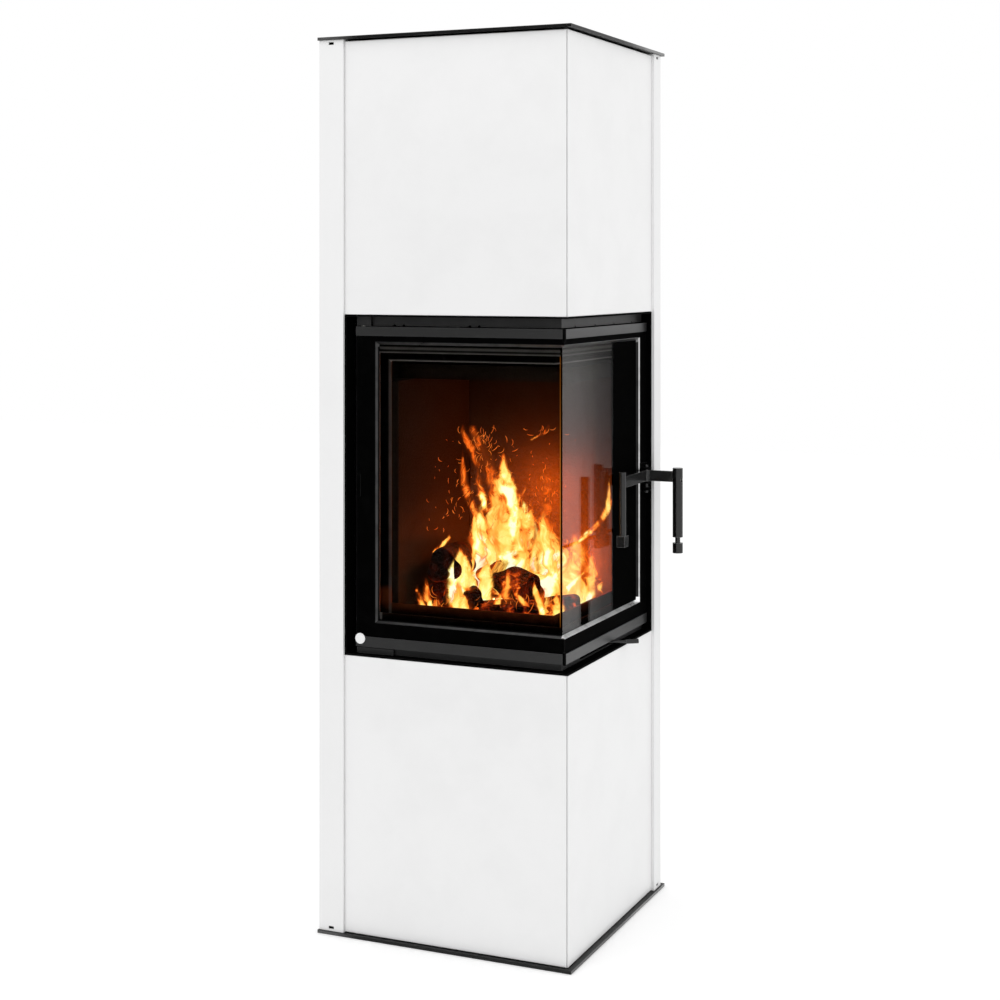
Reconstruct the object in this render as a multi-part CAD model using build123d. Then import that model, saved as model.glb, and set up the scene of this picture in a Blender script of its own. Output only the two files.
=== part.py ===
from build123d import *
from collections import namedtuple
from math import cos, radians, sin, tan
import os

# Tiled stove with a glass corner. Millimetres. The origin is the middle of the base plate's
# underside, the front faces -Y, the glazed side faces +X and +Z is up.

# ------------------------------------------------------------------ overall shape
width = 460.0
depth = 460.0
height = 1510.0
plate_thickness = 5.0
contact_gap = 0.3
running_gap = 0.05
press_gap = 0.02

# ------------------------------------------------------------------ window in the tiles
sill_height = 471.0
window_height = 572.0
collar_thickness = 3.0
collar_depth = 31.0

# ------------------------------------------------------------------ steel casing
casing_thickness = 1.5
casing_side_gap = 1.4
casing_back_gap = 11.0
front_strip_width = 45.6
rear_strip_width = 35.0
strip_inset = 4.0
strip_return = 20.0
slot_length = 10.0
slot_height = 4.5
slot_margin = 8.5

# ------------------------------------------------------------------ tiles
tile_inset = 9.0
tile_thickness = 22.0
tile_mitre_gap = 0.7
tile_edge_radius = 1.6
tile_foot_gap = 0.5
tile_top_gap = 2.5
clip_width = 30.0
clip_height = 20.0
clip_spacing = 180.0

# ------------------------------------------------------------------ inner frame
frame_gap = 3.0
post_leg = 25.0
post_thickness = 3.0
bar_height = 25.0
bar_thickness = 3.0
rail_width = 28.0
rail_thickness = 4.0
rail_door_gap = 3.0
rail_box_gap = 8.0
shield_thickness = 1.5
shield_gap = 2.0

# ------------------------------------------------------------------ door
door_left_gap = 17.4
door_rear_gap = 4.0
door_bottom_gap = 14.0
door_top_gap = 20.0
skin_inset = 19.0
skin_thickness = 3.0
door_back_inset = 41.0
trim_height = 15.5
lower_trim_height = 17.0
lower_trim_lift = 1.0
trim_cap_height = 20.5
trim_thickness = 2.0
trim_corner_gap = 4.5
glass_border_left = 35.6
glass_border_rear = 30.0
glass_border_bottom = 42.0
glass_border_top = 25.0
glass_gasket_thickness = 3.0
glass_thickness = 4.0
glass_overlap = 6.0
glass_rear_overlap = 4.0
glass_mitre_gap = 0.5
corner_seal = 1.5
bezel_width = 5.0
bezel_lip = 0.6
retainer_gap = 0.5
retainer_thickness = 3.0
retainer_rear_setback = 29.0
retainer_step_left = 3.0
retainer_step_rear = 46.0
retainer_step_bottom = 16.0
retainer_step_top = 19.0
retainer_screw_radius = 2.0
retainer_head_radius = 3.8
retainer_head_height = 3.0
retainer_screws_per_row = 5
retainer_screw_margin = 28.0
retainer_screw_play = 0.2
door_gasket_width = 9.0
badge_radius = 9.0
badge_thickness = 1.5
badge_from_left = 8.6
badge_height = 14.4
stile_plate_width = 8.0
stile_plate_height = 37.0
stile_plate_thickness = 1.5
stile_plate_from_edge = 0.6
stile_plate_lift = 2.5

# ------------------------------------------------------------------ door hinge
hinge_inset = 30.0
hinge_from_door_edge = 7.6
hinge_pin_radius = 4.0
hinge_pin_reach = 12.0
hinge_plate_thickness = 4.0
hinge_gap = 1.5
hinge_upper_length = 18.0
hinge_lower_length = 60.0
hinge_block = 12.0
hinge_block_height = 16.0
hinge_plate_overhang = 5.0
hinge_block_gap = 1.0
hinge_bore_overrun = 1.0

# ------------------------------------------------------------------ sheets over and under the door
outlet_inset = 27.0
outlet_gap = 1.5
notch_radius = 3.0
notch_pitch_front = 138.0
notch_pair = 17.0
notch_pitch_side = 91.0
notches_from_left = 94.0
notches_from_corner = 59.0

# ------------------------------------------------------------------ handle and latch
pivot_standoff = 10.0
pivot_from_rear = 24.0
pivot_radius = 3.0
pivot_top = 771.0
pivot_length = 49.0
arm_height = 19.0
arm_bottom = 743.0
arm_thickness = 6.0
hub_radius = 8.0
ear_gap = 2.0
ear_thickness = 3.0
ear_reach = 7.0
bracket_thickness = 3.0
bracket_margin = 7.0
bracket_rear_gap = 1.0
hub_room = 1.0
grip_reach = 58.5
grip_radius = 9.0
grip_top = 768.0
grip_length = 122.0
neck_radius = 4.5
neck_length = 10.0
knob_length = 18.0
grip_screw_radius = 1.7
grip_screw_head = 4.6
grip_screw_sink = 5.5
grip_screw_head_height = 2.0
grip_screw_bite = 6.0
grip_screw_bore = 8.0
grip_screw_play = 0.1
post_rod_radius = 6.0
post_rod_from_pivot = 123.0
post_foot_height = 19.0
post_foot_width = 20.0
post_foot_depth = 14.0
post_rod_top = 770.0
post_rod_length = 128.0
pawl_thickness = 5.0
pawl_hub_radius = 7.0
pawl_overlap = 1.0
pawl_drop = 7.0
pawl_band_from = 8.0
pawl_band_width = 8.0
pawl_reach = 30.0
pawl_nose_length = 6.0
pawl_nose_thickness = 4.0
pawl_slot_margin = 4.0
pawl_slot_front_gap = 1.5
pawl_slot_rear_gap = 2.0
pawl_pocket_reach = 3.0
pawl_pocket_gap = 1.0
keeper_thickness = 3.0
keeper_play = 0.5
keeper_nose_gap = 1.0

# ------------------------------------------------------------------ firebox
steel = 4.0
fire_floor_lift = 17.0
face_inset = 47.0
face_margin = 2.0
fire_border_left = 51.0
fire_border_bottom = 69.0
fire_border_top = 58.0
fire_rear = 86.0
face_rear = 165.0
firebox_left = -141.0
firebox_back = 150.0
firebox_top_drop = 13.0
lining_thickness = 30.0
lining_floor_thickness = 27.0
lining_height = 438.0
lining_front_gap = 9.0
lining_right_gap = 1.0
baffle_thickness = 25.0
baffle_smoke_gap = 80.0
upper_baffle_thickness = 4.0
upper_baffle_lift = 20.0
upper_baffle_gap = 85.0
upper_baffle_side_gap = 2.0
upper_baffle_front_gap = 3.0
ledge_width = 15.0
ledge_front_gap = 79.0
ledge_rear_gap = 130.0

# ------------------------------------------------------------------ grate and ash pan
grate_x = -10.0
grate_y = -20.0
grate_width = 190.0
grate_depth = 160.0
grate_height = 15.0
grate_rim = 12.0
grate_slot = 8.0
grate_bar = 8.0
grate_seat = 10.0
grate_gap = 1.0
well_depth = 52.0
well_thickness = 2.0
ash_pan_gap = 3.0
ash_pan_thickness = 1.5
ash_pan_depth = 42.0

# ------------------------------------------------------------------ flue
flue_x = 0.0
flue_y = 40.0
flue_radius = 75.5
flue_thickness = 2.0
flue_slip = 0.3
smoke_hole_radius = 70.0
collar_height = 32.0
collar_flange_width = 14.0
flue_hole_gap = 3.0
flue_top_drop = 2.0

# ------------------------------------------------------------------ air supply
air_box_left = -110.0
air_box_right = 160.0
air_box_front = -105.0
air_box_rear = 110.0
air_box_height = 158.0
air_box_thickness = 2.0
spigot_radius = 50.5
spigot_thickness = 2.0
spigot_overhang = 9.0
spigot_hole_gap = 1.0
inlet_hole_radius = 47.0
spigot_drop = 103.0
spigot_x = 0.0

# ------------------------------------------------------------------ air control
lever_x = 115.0
lever_y = -50.0
lever_rest_angle = 36.0
lever_overhang = 15.252
lever_drop = 5.0
lever_rod_radius = 2.5
lever_hub_radius = 9.0
lever_hub_height = 12.0
lever_pin_radius = 4.0
lever_flange_radius = 12.0
lever_keep_rim = 2.5
lever_keep_thickness = 2.5
lever_knob_radius = 4.0
lever_knob_length = 22.0
lever_slot_margin = 8.0
lever_slot_gap = 1.0
crank_radius = 30.0
crank_pin_radius = 3.0
crank_plate = 4.0
crank_rim = 2.0
crank_pin_overrun = 1.0
crank_play = 1.0
slide_thickness = 2.0
slide_front = 20.0
slide_rear = 60.0
slide_tab_thickness = 3.0
slide_tab_width = 20.0
slide_tab_rim = 4.0
slide_tab_gap = 1.5
slide_lip = 4.0
port_length = 30.0
port_height = 16.0
port_gap = 2.0
port_lift = 3.0

# ------------------------------------------------------------------ casing screws
screw_head_radius = 4.5
screw_head_height = 2.4
screw_levels = 4
screw_end_margin = 90.0

# ------------------------------------------------------------------ worked out from the above
left = -width / 2
right = width / 2
front = -depth / 2
back = depth / 2
deck = plate_thickness
head_height = sill_height + window_height
tile_top = height - plate_thickness - tile_top_gap
under_top = height - plate_thickness

casing_left_face = left + casing_side_gap
casing_back_face = back - casing_back_gap
window_left = casing_left_face + front_strip_width
window_rear = casing_back_face - rear_strip_width

tile_back_inset = tile_inset + tile_thickness
post_inset = tile_back_inset + frame_gap
post_left = casing_left_face + casing_thickness + contact_gap
post_back = casing_back_face - casing_thickness - contact_gap
bar_inset = post_inset + post_thickness
bar_left = post_left + post_thickness
bar_back = post_back - post_thickness

sill_top = sill_height + collar_thickness
lintel_bottom = head_height - collar_thickness
collar_back_inset = tile_inset + collar_depth

trim_inset = skin_inset - trim_thickness
glass_inset = skin_inset + skin_thickness + glass_gasket_thickness
glass_back_inset = glass_inset + glass_thickness
retainer_inset = glass_back_inset + retainer_gap
retainer_back_inset = retainer_inset + retainer_thickness

fire_floor_bottom = sill_height + fire_floor_lift
fire_floor_top = fire_floor_bottom + steel
lining_floor_top = fire_floor_top + lining_floor_thickness
lining_top = fire_floor_top + contact_gap + lining_height

Outline = namedtuple("Outline", "left rear bottom top")


def side_x(inset):
    """X of a plane that lies the given distance inside the right-hand edge."""
    return right - inset


def front_y(inset):
    """Y of a plane that lies the given distance behind the front edge."""
    return front + inset


door_outline = Outline(
    window_left + door_left_gap,
    window_rear - door_rear_gap,
    sill_height + door_bottom_gap,
    head_height - door_top_gap,
)
glass_opening = Outline(
    door_outline.left + glass_border_left,
    door_outline.rear - glass_border_rear,
    door_outline.bottom + glass_border_bottom,
    door_outline.top - glass_border_top,
)
glass_outline = Outline(
    glass_opening.left - glass_overlap,
    glass_opening.rear + glass_rear_overlap,
    glass_opening.bottom - glass_overlap,
    glass_opening.top + glass_overlap,
)
fire_opening = Outline(
    door_outline.left + fire_border_left,
    fire_rear,
    fire_floor_bottom + fire_border_bottom,
    door_outline.top - fire_border_top,
)
face_outline = Outline(
    door_outline.left,
    face_rear,
    fire_floor_bottom,
    door_outline.top - face_margin,
)
firebox_top = face_outline.top - firebox_top_drop

hinge_x = door_outline.left + hinge_from_door_edge
hinge_y = front_y(hinge_inset)
pivot_x = side_x(skin_inset) + pivot_standoff
pivot_y = door_outline.rear - pivot_from_rear

well_left = grate_x - grate_width / 2 + grate_seat
well_right = grate_x + grate_width / 2 - grate_seat
well_front = grate_y - grate_depth / 2 + grate_seat
well_rear = grate_y + grate_depth / 2 - grate_seat
well_bottom = fire_floor_bottom - well_depth

air_box_bottom = fire_floor_bottom - air_box_height
spigot_z = fire_floor_bottom - spigot_drop
lever_z = door_outline.bottom - lever_drop
lever_length = (right + lever_overhang - lever_x) / cos(radians(lever_rest_angle))


# ------------------------------------------------------------------ shapes used everywhere
def block(x0, x1, y0, y1, z0, z1):
    """Box between two corners."""
    middle = Pos((x0 + x1) / 2, (y0 + y1) / 2, (z0 + z1) / 2)
    return middle * Box(x1 - x0, y1 - y0, z1 - z0)


def prism(points, z0, z1):
    """Upright prism on a polygon of plan points."""
    return Pos(0, 0, z0) * extrude(Polygon(*points), z1 - z0, dir=(0, 0, 1))


def upright(x, y, radius, z0, z1):
    """Cylinder along Z."""
    return Pos(x, y, (z0 + z1) / 2) * Cylinder(radius, z1 - z0)


def along_x(y, z, radius, x0, x1):
    """Cylinder along X."""
    return Pos((x0 + x1) / 2, y, z) * Rot(0, 90, 0) * Cylinder(radius, x1 - x0)


def along_y(x, z, radius, y0, y1):
    """Cylinder along Y."""
    return Pos(x, (y0 + y1) / 2, z) * Rot(90, 0, 0) * Cylinder(radius, y1 - y0)


def joined(shapes):
    """One solid out of several that touch or cross."""
    total = shapes[0]
    for shape in shapes[1:]:
        total = total + shape
    return total


def group(shapes):
    """Separate solids kept together in one node."""
    solids = [solid for shape in shapes for solid in shape.solids()]
    return Compound(children=solids)


def corner_slab(outer, inner, outline):
    """L-shaped wall along the front and the right side, between two insets."""
    points = (
        (outline.left, front_y(outer)),
        (side_x(outer), front_y(outer)),
        (side_x(outer), outline.rear),
        (side_x(inner), outline.rear),
        (side_x(inner), front_y(inner)),
        (outline.left, front_y(inner)),
    )
    return prism(points, outline.bottom, outline.top)


def corner_ring(outer, inner, outline, opening):
    """L-shaped wall with a window that wraps round the near corner."""
    return corner_slab(outer, inner, outline) - corner_slab(outer - 1, inner + 1, opening)


def front_leg(outer, inner, outline, gap):
    """Front half of a mitred corner wall."""
    points = (
        (outline.left, front_y(outer)),
        (side_x(outer) - gap, front_y(outer)),
        (side_x(inner) - gap, front_y(inner)),
        (outline.left, front_y(inner)),
    )
    return prism(points, outline.bottom, outline.top)


def side_leg(outer, inner, outline, gap):
    """Side half of a mitred corner wall."""
    points = (
        (side_x(outer), front_y(outer) + gap),
        (side_x(outer), outline.rear),
        (side_x(inner), outline.rear),
        (side_x(inner), front_y(inner) + gap),
    )
    return prism(points, outline.bottom, outline.top)


def grown(outline, by):
    """Outline moved outwards by a distance on all four sides."""
    return Outline(
        outline.left - by,
        outline.rear + by,
        outline.bottom - by,
        outline.top + by,
    )


# ------------------------------------------------------------------ plates and casing
def make_base_plate():
    """Floor plate of the stove."""
    return block(left, right, front, back, 0, plate_thickness)


def make_top_plate():
    """Cover plate with the hole that the flue pipe ends in."""
    plate = block(left, right, front, back, under_top, height)
    hole_radius = flue_radius + flue_thickness + flue_hole_gap
    return plate - upright(flue_x, flue_y, hole_radius, under_top - 1, height + 1)


def strip_slot_heights():
    """Lower edges of the two small slots near the ends of each strip."""
    return (slot_margin, height - slot_margin - slot_height)


def make_casing_left():
    """Left panel folded round the front as a narrow strip with a return."""
    x0 = casing_left_face
    y0 = front_y(strip_inset)
    back_edge = casing_back_face - casing_thickness
    wall = block(x0, x0 + casing_thickness, y0, back_edge, deck, under_top)
    strip = block(x0, window_left, y0, y0 + casing_thickness, deck, under_top)
    fold = block(window_left - casing_thickness, window_left, y0, y0 + strip_return, deck, under_top)
    panel = joined([wall, strip, fold])
    middle = (x0 + window_left) / 2
    for z in strip_slot_heights():
        panel = panel - block(
            middle - slot_length / 2,
            middle + slot_length / 2,
            y0 - 1,
            y0 + casing_thickness + 1,
            z,
            z + slot_height,
        )
    return panel


def make_casing_back():
    """Back panel folded round the right side as a narrow strip with a return."""
    y1 = casing_back_face
    x1 = side_x(strip_inset)
    wall = block(casing_left_face, x1, y1 - casing_thickness, y1, deck, under_top)
    strip = block(x1 - casing_thickness, x1, window_rear, y1, deck, under_top)
    fold = block(x1 - strip_return, x1, window_rear, window_rear + casing_thickness, deck, under_top)
    panel = joined([wall, strip, fold])
    middle = (window_rear + y1) / 2
    for z in strip_slot_heights():
        panel = panel - block(
            x1 - casing_thickness - 1,
            x1 + 1,
            middle - slot_length / 2,
            middle + slot_length / 2,
            z,
            z + slot_height,
        )
    duct_hole = spigot_radius + spigot_thickness + spigot_hole_gap
    return panel - along_y(spigot_x, spigot_z, duct_hole, y1 - casing_thickness - 1, y1 + 1)


def make_casing_screws():
    """Round-headed screws that hold the back panel to the rear posts."""
    heads = []
    span = under_top - deck - 2 * screw_end_margin
    for x in (post_left + post_leg / 2, side_x(post_inset) - post_leg / 2):
        for level in range(screw_levels):
            z = deck + screw_end_margin + span * level / (screw_levels - 1)
            head = along_y(x, z, screw_head_radius, casing_back_face, casing_back_face + screw_head_height)
            heads.append(head)
    return group(heads)


# ------------------------------------------------------------------ tiles
def rounded_tile(tile, outer_face_axis):
    """Tile with the edges of its glazed face rounded."""
    faces = tile.faces().sort_by(outer_face_axis)
    face = faces[0] if outer_face_axis == Axis.Y else faces[-1]
    return fillet(face.edges(), tile_edge_radius)


def tile_outline(bottom, top):
    """Outline of the tiles over or under the window."""
    return Outline(window_left + contact_gap, window_rear - contact_gap, bottom, top)


def make_front_tile(bottom, top):
    """Glazed slab on the front, mitred at the near corner."""
    leg = front_leg(tile_inset, tile_back_inset, tile_outline(bottom, top), tile_mitre_gap)
    return rounded_tile(leg, Axis.Y)


def make_side_tile(bottom, top):
    """Glazed slab on the right side, mitred at the near corner."""
    leg = side_leg(tile_inset, tile_back_inset, tile_outline(bottom, top), tile_mitre_gap)
    return rounded_tile(leg, Axis.X)


def bar_levels():
    """Undersides of the four levels of frame bars."""
    return (
        deck,
        sill_height - bar_height - deck,
        head_height + collar_thickness,
        tile_top - bar_height,
    )


def make_tile_clips():
    """Steel blocks between the tiles' backs and the frame bars."""
    clips = []
    y0 = front_y(tile_back_inset)
    y1 = front_y(bar_inset)
    x0 = side_x(bar_inset)
    x1 = side_x(tile_back_inset)
    middle = (window_left + side_x(tile_back_inset)) / 2
    side_middle = (front_y(tile_back_inset) + window_rear) / 2
    for level in bar_levels():
        z0 = level + (bar_height - clip_height) / 2
        z1 = z0 + clip_height
        for shift in (-clip_spacing / 2, clip_spacing / 2):
            x = middle + shift
            y = side_middle + shift
            clips.append(block(x - clip_width / 2, x + clip_width / 2, y0, y1, z0, z1))
            clips.append(block(x0, x1, y - clip_width / 2, y + clip_width / 2, z0, z1))
    return group(clips)


# ------------------------------------------------------------------ inner frame
def angle_post(x, y, x_sign, y_sign, z0, z1):
    """Upright angle whose outer corner is at x, y and whose legs run to x_sign and y_sign."""
    leg_x = x + x_sign * post_leg
    leg_y = y + y_sign * post_leg
    wall_x = x + x_sign * post_thickness
    wall_y = y + y_sign * post_thickness
    along = block(min(x, leg_x), max(x, leg_x), min(y, wall_y), max(y, wall_y), z0, z1)
    across = block(min(x, wall_x), max(x, wall_x), min(y, leg_y), max(y, leg_y), z0, z1)
    return along + across


def make_frame_posts():
    """Three full posts and two short ones over and under the glass corner."""
    x_near = side_x(post_inset)
    y_near = front_y(post_inset)
    return group([
        angle_post(post_left, y_near, 1, 1, deck, under_top),
        angle_post(post_left, post_back, 1, -1, deck, under_top),
        angle_post(x_near, post_back, -1, -1, deck, under_top),
        angle_post(x_near, y_near, -1, 1, deck, sill_height),
        angle_post(x_near, y_near, -1, 1, head_height, under_top),
    ])


def make_frame_bars():
    """Four levels of flat bars that tie the posts together."""
    x0 = bar_left
    x1 = side_x(bar_inset)
    y0 = front_y(bar_inset)
    y1 = bar_back
    t = bar_thickness
    bars = []
    for z0 in bar_levels():
        z1 = z0 + bar_height
        bars.append(block(x0, x1, y0, y0 + t, z0, z1))
        bars.append(block(x0, x1, y1 - t, y1, z0, z1))
        bars.append(block(x0, x0 + t, y0 + t, y1 - t, z0, z1))
        bars.append(block(x1 - t, x1, y0 + t, y1 - t, z0, z1))
    return group(bars)


def make_support_rails():
    """Two angle rails across the lower frame that carry the firebox."""
    rails = []
    z1 = fire_floor_bottom
    z0 = bar_levels()[1] + bar_height
    x0 = bar_left
    x1 = side_x(door_back_inset + rail_door_gap)
    seat_end = side_x(bar_inset)
    for y, side in ((air_box_front - rail_box_gap, -1), (air_box_rear + rail_box_gap, 1)):
        far = y + side * rail_width
        web = y + side * rail_thickness
        top = block(x0, x1, min(y, far), max(y, far), z1 - rail_thickness, z1)
        upright_web = block(x0, x1, min(y, web), max(y, web), z0, z1 - rail_thickness)
        toe = block(x1, seat_end, min(y, web), max(y, web), z0, sill_height - tile_foot_gap)
        rails.append(joined([top, upright_web, toe]))
    return group(rails)


def make_heat_shields():
    """Thin sheets that keep the heat off the left panel and the back panel."""
    z0 = fire_floor_bottom + shield_gap
    z1 = bar_levels()[2] + bar_height
    x0 = bar_left + bar_thickness
    x1 = side_x(bar_inset) - bar_thickness
    y0 = front_y(bar_inset) + bar_thickness
    y1 = bar_back - bar_thickness
    left_sheet = block(x0, x0 + shield_thickness, y0, y1 - shield_thickness - shield_gap, z0, z1)
    back_sheet = block(x0, x1, y1 - shield_thickness, y1, z0, z1)
    return group([left_sheet, back_sheet])


# ------------------------------------------------------------------ collar of the window
def make_collar_shelf(bottom, top):
    """L-shaped shelf that lines the window's lower or upper edge."""
    outline = Outline(window_left, window_rear, bottom, top)
    return corner_slab(tile_inset, collar_back_inset, outline)


def make_collar_jambs():
    """Upright linings at the left and the rear end of the window."""
    x0 = side_x(collar_back_inset)
    x1 = side_x(tile_inset)
    y0 = front_y(tile_inset)
    y1 = front_y(collar_back_inset)
    return group([
        block(window_left, window_left + collar_thickness, y0, y1, sill_top, lintel_bottom),
        block(x0, x1, window_rear - collar_thickness, window_rear, sill_top, lintel_bottom),
    ])


def outlet_notches(z):
    """Half-round notches along the lower edge of the upper sheet: pairs in front, single ones at the side."""
    cuts = []
    t = casing_thickness
    y0 = front_y(outlet_inset)
    x1 = side_x(outlet_inset)
    x = window_left + notches_from_left
    while x < x1 - notch_pair:
        for shift in (-notch_pair / 2, notch_pair / 2):
            cuts.append(along_y(x + shift, z, notch_radius, y0 - t, y0 + 2 * t))
        x = x + notch_pitch_front
    y = y0 + notches_from_corner
    while y < firebox_back:
        cuts.append(along_x(y, z, notch_radius, x1 - 2 * t, x1 + t))
        y = y + notch_pitch_side
    return cuts


def make_outlet_upper():
    """Recessed sheet over the door, with notches for the warm air."""
    z0 = door_outline.top + outlet_gap
    start = hinge_x + hinge_upper_length + outlet_gap
    outline = Outline(start, window_rear - collar_thickness, z0, lintel_bottom)
    sheet = corner_slab(outlet_inset, outlet_inset + casing_thickness, outline)
    for cut in outlet_notches(z0):
        sheet = sheet - cut
    return sheet


def make_outlet_lower():
    """Recessed sheet under the door, open where the air lever swings."""
    z1 = door_outline.bottom - outlet_gap
    start = hinge_x + hinge_lower_length + outlet_gap
    outline = Outline(start, window_rear - collar_thickness, sill_top, z1)
    sheet = corner_slab(outlet_inset, outlet_inset + casing_thickness, outline)
    return sheet - lever_slot(side_x(outlet_inset), z1 + 1)


def lever_slot(x, top):
    """Room for the air lever's swing in an upright sheet whose outer face is at x."""
    swing = (x - lever_x) * tan(radians(lever_rest_angle)) + lever_slot_margin
    bottom = lever_z - lever_rod_radius - lever_slot_gap
    return block(x - lever_slot_margin, x + 1, lever_y - swing, lever_y + swing, bottom, top)


# ------------------------------------------------------------------ door
def hinge_block_end():
    """X where the hinge blocks end."""
    return door_outline.left + skin_thickness + hinge_block


def hinge_bore_blocks():
    """Blocks in the door's left corners that hold the hinge bores."""
    blocks = []
    x0 = door_outline.left + skin_thickness
    x1 = hinge_block_end()
    y0 = front_y(skin_inset + skin_thickness)
    y1 = front_y(door_back_inset)
    reach = hinge_block_height
    for z0, z1 in (
        (door_outline.bottom, door_outline.bottom + reach),
        (door_outline.top - reach, door_outline.top),
    ):
        blocks.append(block(x0, x1, y0, y1, z0, z1))
    return blocks


def make_door_frame():
    """Frame of the door: skin, perimeter walls and hinge blocks, with the latch slot."""
    body = corner_slab(skin_inset, door_back_inset, door_outline)
    inside = Outline(
        door_outline.left + skin_thickness,
        door_outline.rear - skin_thickness,
        door_outline.bottom + skin_thickness,
        door_outline.top - skin_thickness,
    )
    body = body - corner_slab(skin_inset + skin_thickness, door_back_inset + 1, inside)
    body = body - corner_slab(skin_inset - 1, skin_inset + skin_thickness + 1, glass_opening)
    for hinge in hinge_bore_blocks():
        body = body + hinge
    bore = hinge_pin_radius + running_gap
    reach = hinge_pin_reach + hinge_bore_overrun
    for z0, z1 in (
        (door_outline.bottom - 1, door_outline.bottom + reach),
        (door_outline.top - reach, door_outline.top + 1),
    ):
        body = body - upright(hinge_x, hinge_y, bore, z0, z1)
    for z0, z1 in (
        (door_outline.bottom, door_outline.bottom + trim_cap_height),
        (door_outline.top - trim_cap_height, door_outline.top),
    ):
        x1 = side_x(trim_inset)
        y0 = front_y(trim_inset)
        cap = block(x1 - trim_corner_gap, x1, y0, y0 + trim_corner_gap, z0, z1)
        body = body + cap
    return body - latch_slot() - latch_pocket()


def latch_levels():
    """Lower and upper side of the latch pawl."""
    top = arm_bottom - ear_gap - ear_thickness - pawl_drop
    return top - pawl_thickness, top


def latch_slot():
    """Slot in the door's skin that the pawl passes through."""
    z0, z1 = latch_levels()
    skin = side_x(skin_inset)
    return block(
        skin - skin_thickness - 1,
        skin + 1,
        pivot_y + pawl_slot_front_gap,
        door_outline.rear - pawl_slot_rear_gap,
        z0 - pawl_slot_margin,
        z1 + pawl_slot_margin,
    )


def latch_pocket():
    """Notch in the door's rear wall round the pawl and the keeper."""
    z0, z1 = latch_levels()
    return block(
        side_x(door_back_inset) - pawl_pocket_reach,
        side_x(skin_inset + skin_thickness),
        glass_outline.rear + pawl_pocket_gap,
        door_outline.rear + 1,
        z0 - 2 * pawl_slot_margin,
        z1 + 2 * pawl_slot_margin,
    )


def make_door_trim():
    """Satin bars on the door's upper and lower edge, front and side."""
    bars = []
    x1 = side_x(trim_inset)
    y0 = front_y(trim_inset)
    low = door_outline.bottom + lower_trim_lift
    for z0, z1 in ((low, low + lower_trim_height), (door_outline.top - trim_height, door_outline.top)):
        bars.append(block(door_outline.left, x1 - trim_corner_gap, y0, y0 + trim_thickness, z0, z1))
        bars.append(block(x1 - trim_thickness, x1, y0 + trim_corner_gap, door_outline.rear, z0, z1))
    return group(bars)


def make_glass_gasket():
    """Flat rope between the skin and the panes, and the bead in the inner corner."""
    skin_back = skin_inset + skin_thickness
    ring = corner_ring(skin_back, glass_inset, glass_outline, glass_opening)
    x0 = side_x(glass_back_inset + corner_seal)
    y0 = front_y(glass_back_inset)
    opening = retainer_opening()
    bead = block(
        x0,
        x0 + corner_seal,
        y0,
        y0 + corner_seal,
        opening.bottom + contact_gap,
        opening.top - contact_gap,
    )
    return group([ring, bead])


def make_glass_bezel():
    """Sloping frame inside the door's opening, in front of the panes."""
    outer = skin_inset
    inner = glass_inset - contact_gap
    wide = glass_opening
    lip = grown(wide, -bezel_lip)
    narrow = grown(wide, -bezel_width)
    beyond = 20.0
    z_mid = (wide.bottom + wide.top) / 2
    front_rects = []
    for outline, y in ((lip, front_y(outer)), (narrow, front_y(inner))):
        span = right + beyond - outline.left
        plane = Plane(origin=(outline.left + span / 2, y, z_mid), x_dir=(1, 0, 0), z_dir=(0, -1, 0))
        front_rects.append(plane * Rectangle(span, outline.top - outline.bottom))
    side_rects = []
    for outline, x in ((lip, side_x(outer)), (narrow, side_x(inner))):
        span = outline.rear - front + beyond
        plane = Plane(origin=(x, outline.rear - span / 2, z_mid), x_dir=(0, 1, 0), z_dir=(1, 0, 0))
        side_rects.append(plane * Rectangle(span, outline.top - outline.bottom))
    front_part = front_leg(outer, inner, wide, 0) - loft(front_rects)
    side_part = side_leg(outer, inner, wide, 0) - loft(side_rects)
    return front_part + side_part


def retainer_outline():
    """Outer outline of the frame behind the panes."""
    return Outline(
        door_outline.left + skin_thickness + contact_gap,
        door_outline.rear - retainer_rear_setback,
        door_outline.bottom + skin_thickness + contact_gap,
        door_outline.top - skin_thickness - contact_gap,
    )


def retainer_opening():
    """Opening of the frame behind the panes, seen through them as the first step."""
    return Outline(
        glass_opening.left + retainer_step_left,
        glass_opening.rear - retainer_step_rear,
        glass_opening.bottom + retainer_step_bottom,
        glass_opening.top - retainer_step_top,
    )


def retainer_screw_places():
    """Plan and height of each screw that clamps the frame behind the panes."""
    places = []
    upper = glass_outline.top + retainer_screw_radius + contact_gap
    lower = glass_outline.bottom - retainer_screw_radius - contact_gap
    x0 = glass_outline.left + retainer_screw_margin
    x_span = side_x(retainer_back_inset) - retainer_screw_margin - x0
    y0 = front_y(retainer_back_inset) + retainer_screw_margin
    y_span = retainer_outline().rear - retainer_screw_margin - y0
    for index in range(retainer_screws_per_row):
        share = index / (retainer_screws_per_row - 1)
        for z in (lower, upper):
            places.append(("front", x0 + share * x_span, z))
            places.append(("side", y0 + share * y_span, z))
    return places


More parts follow.
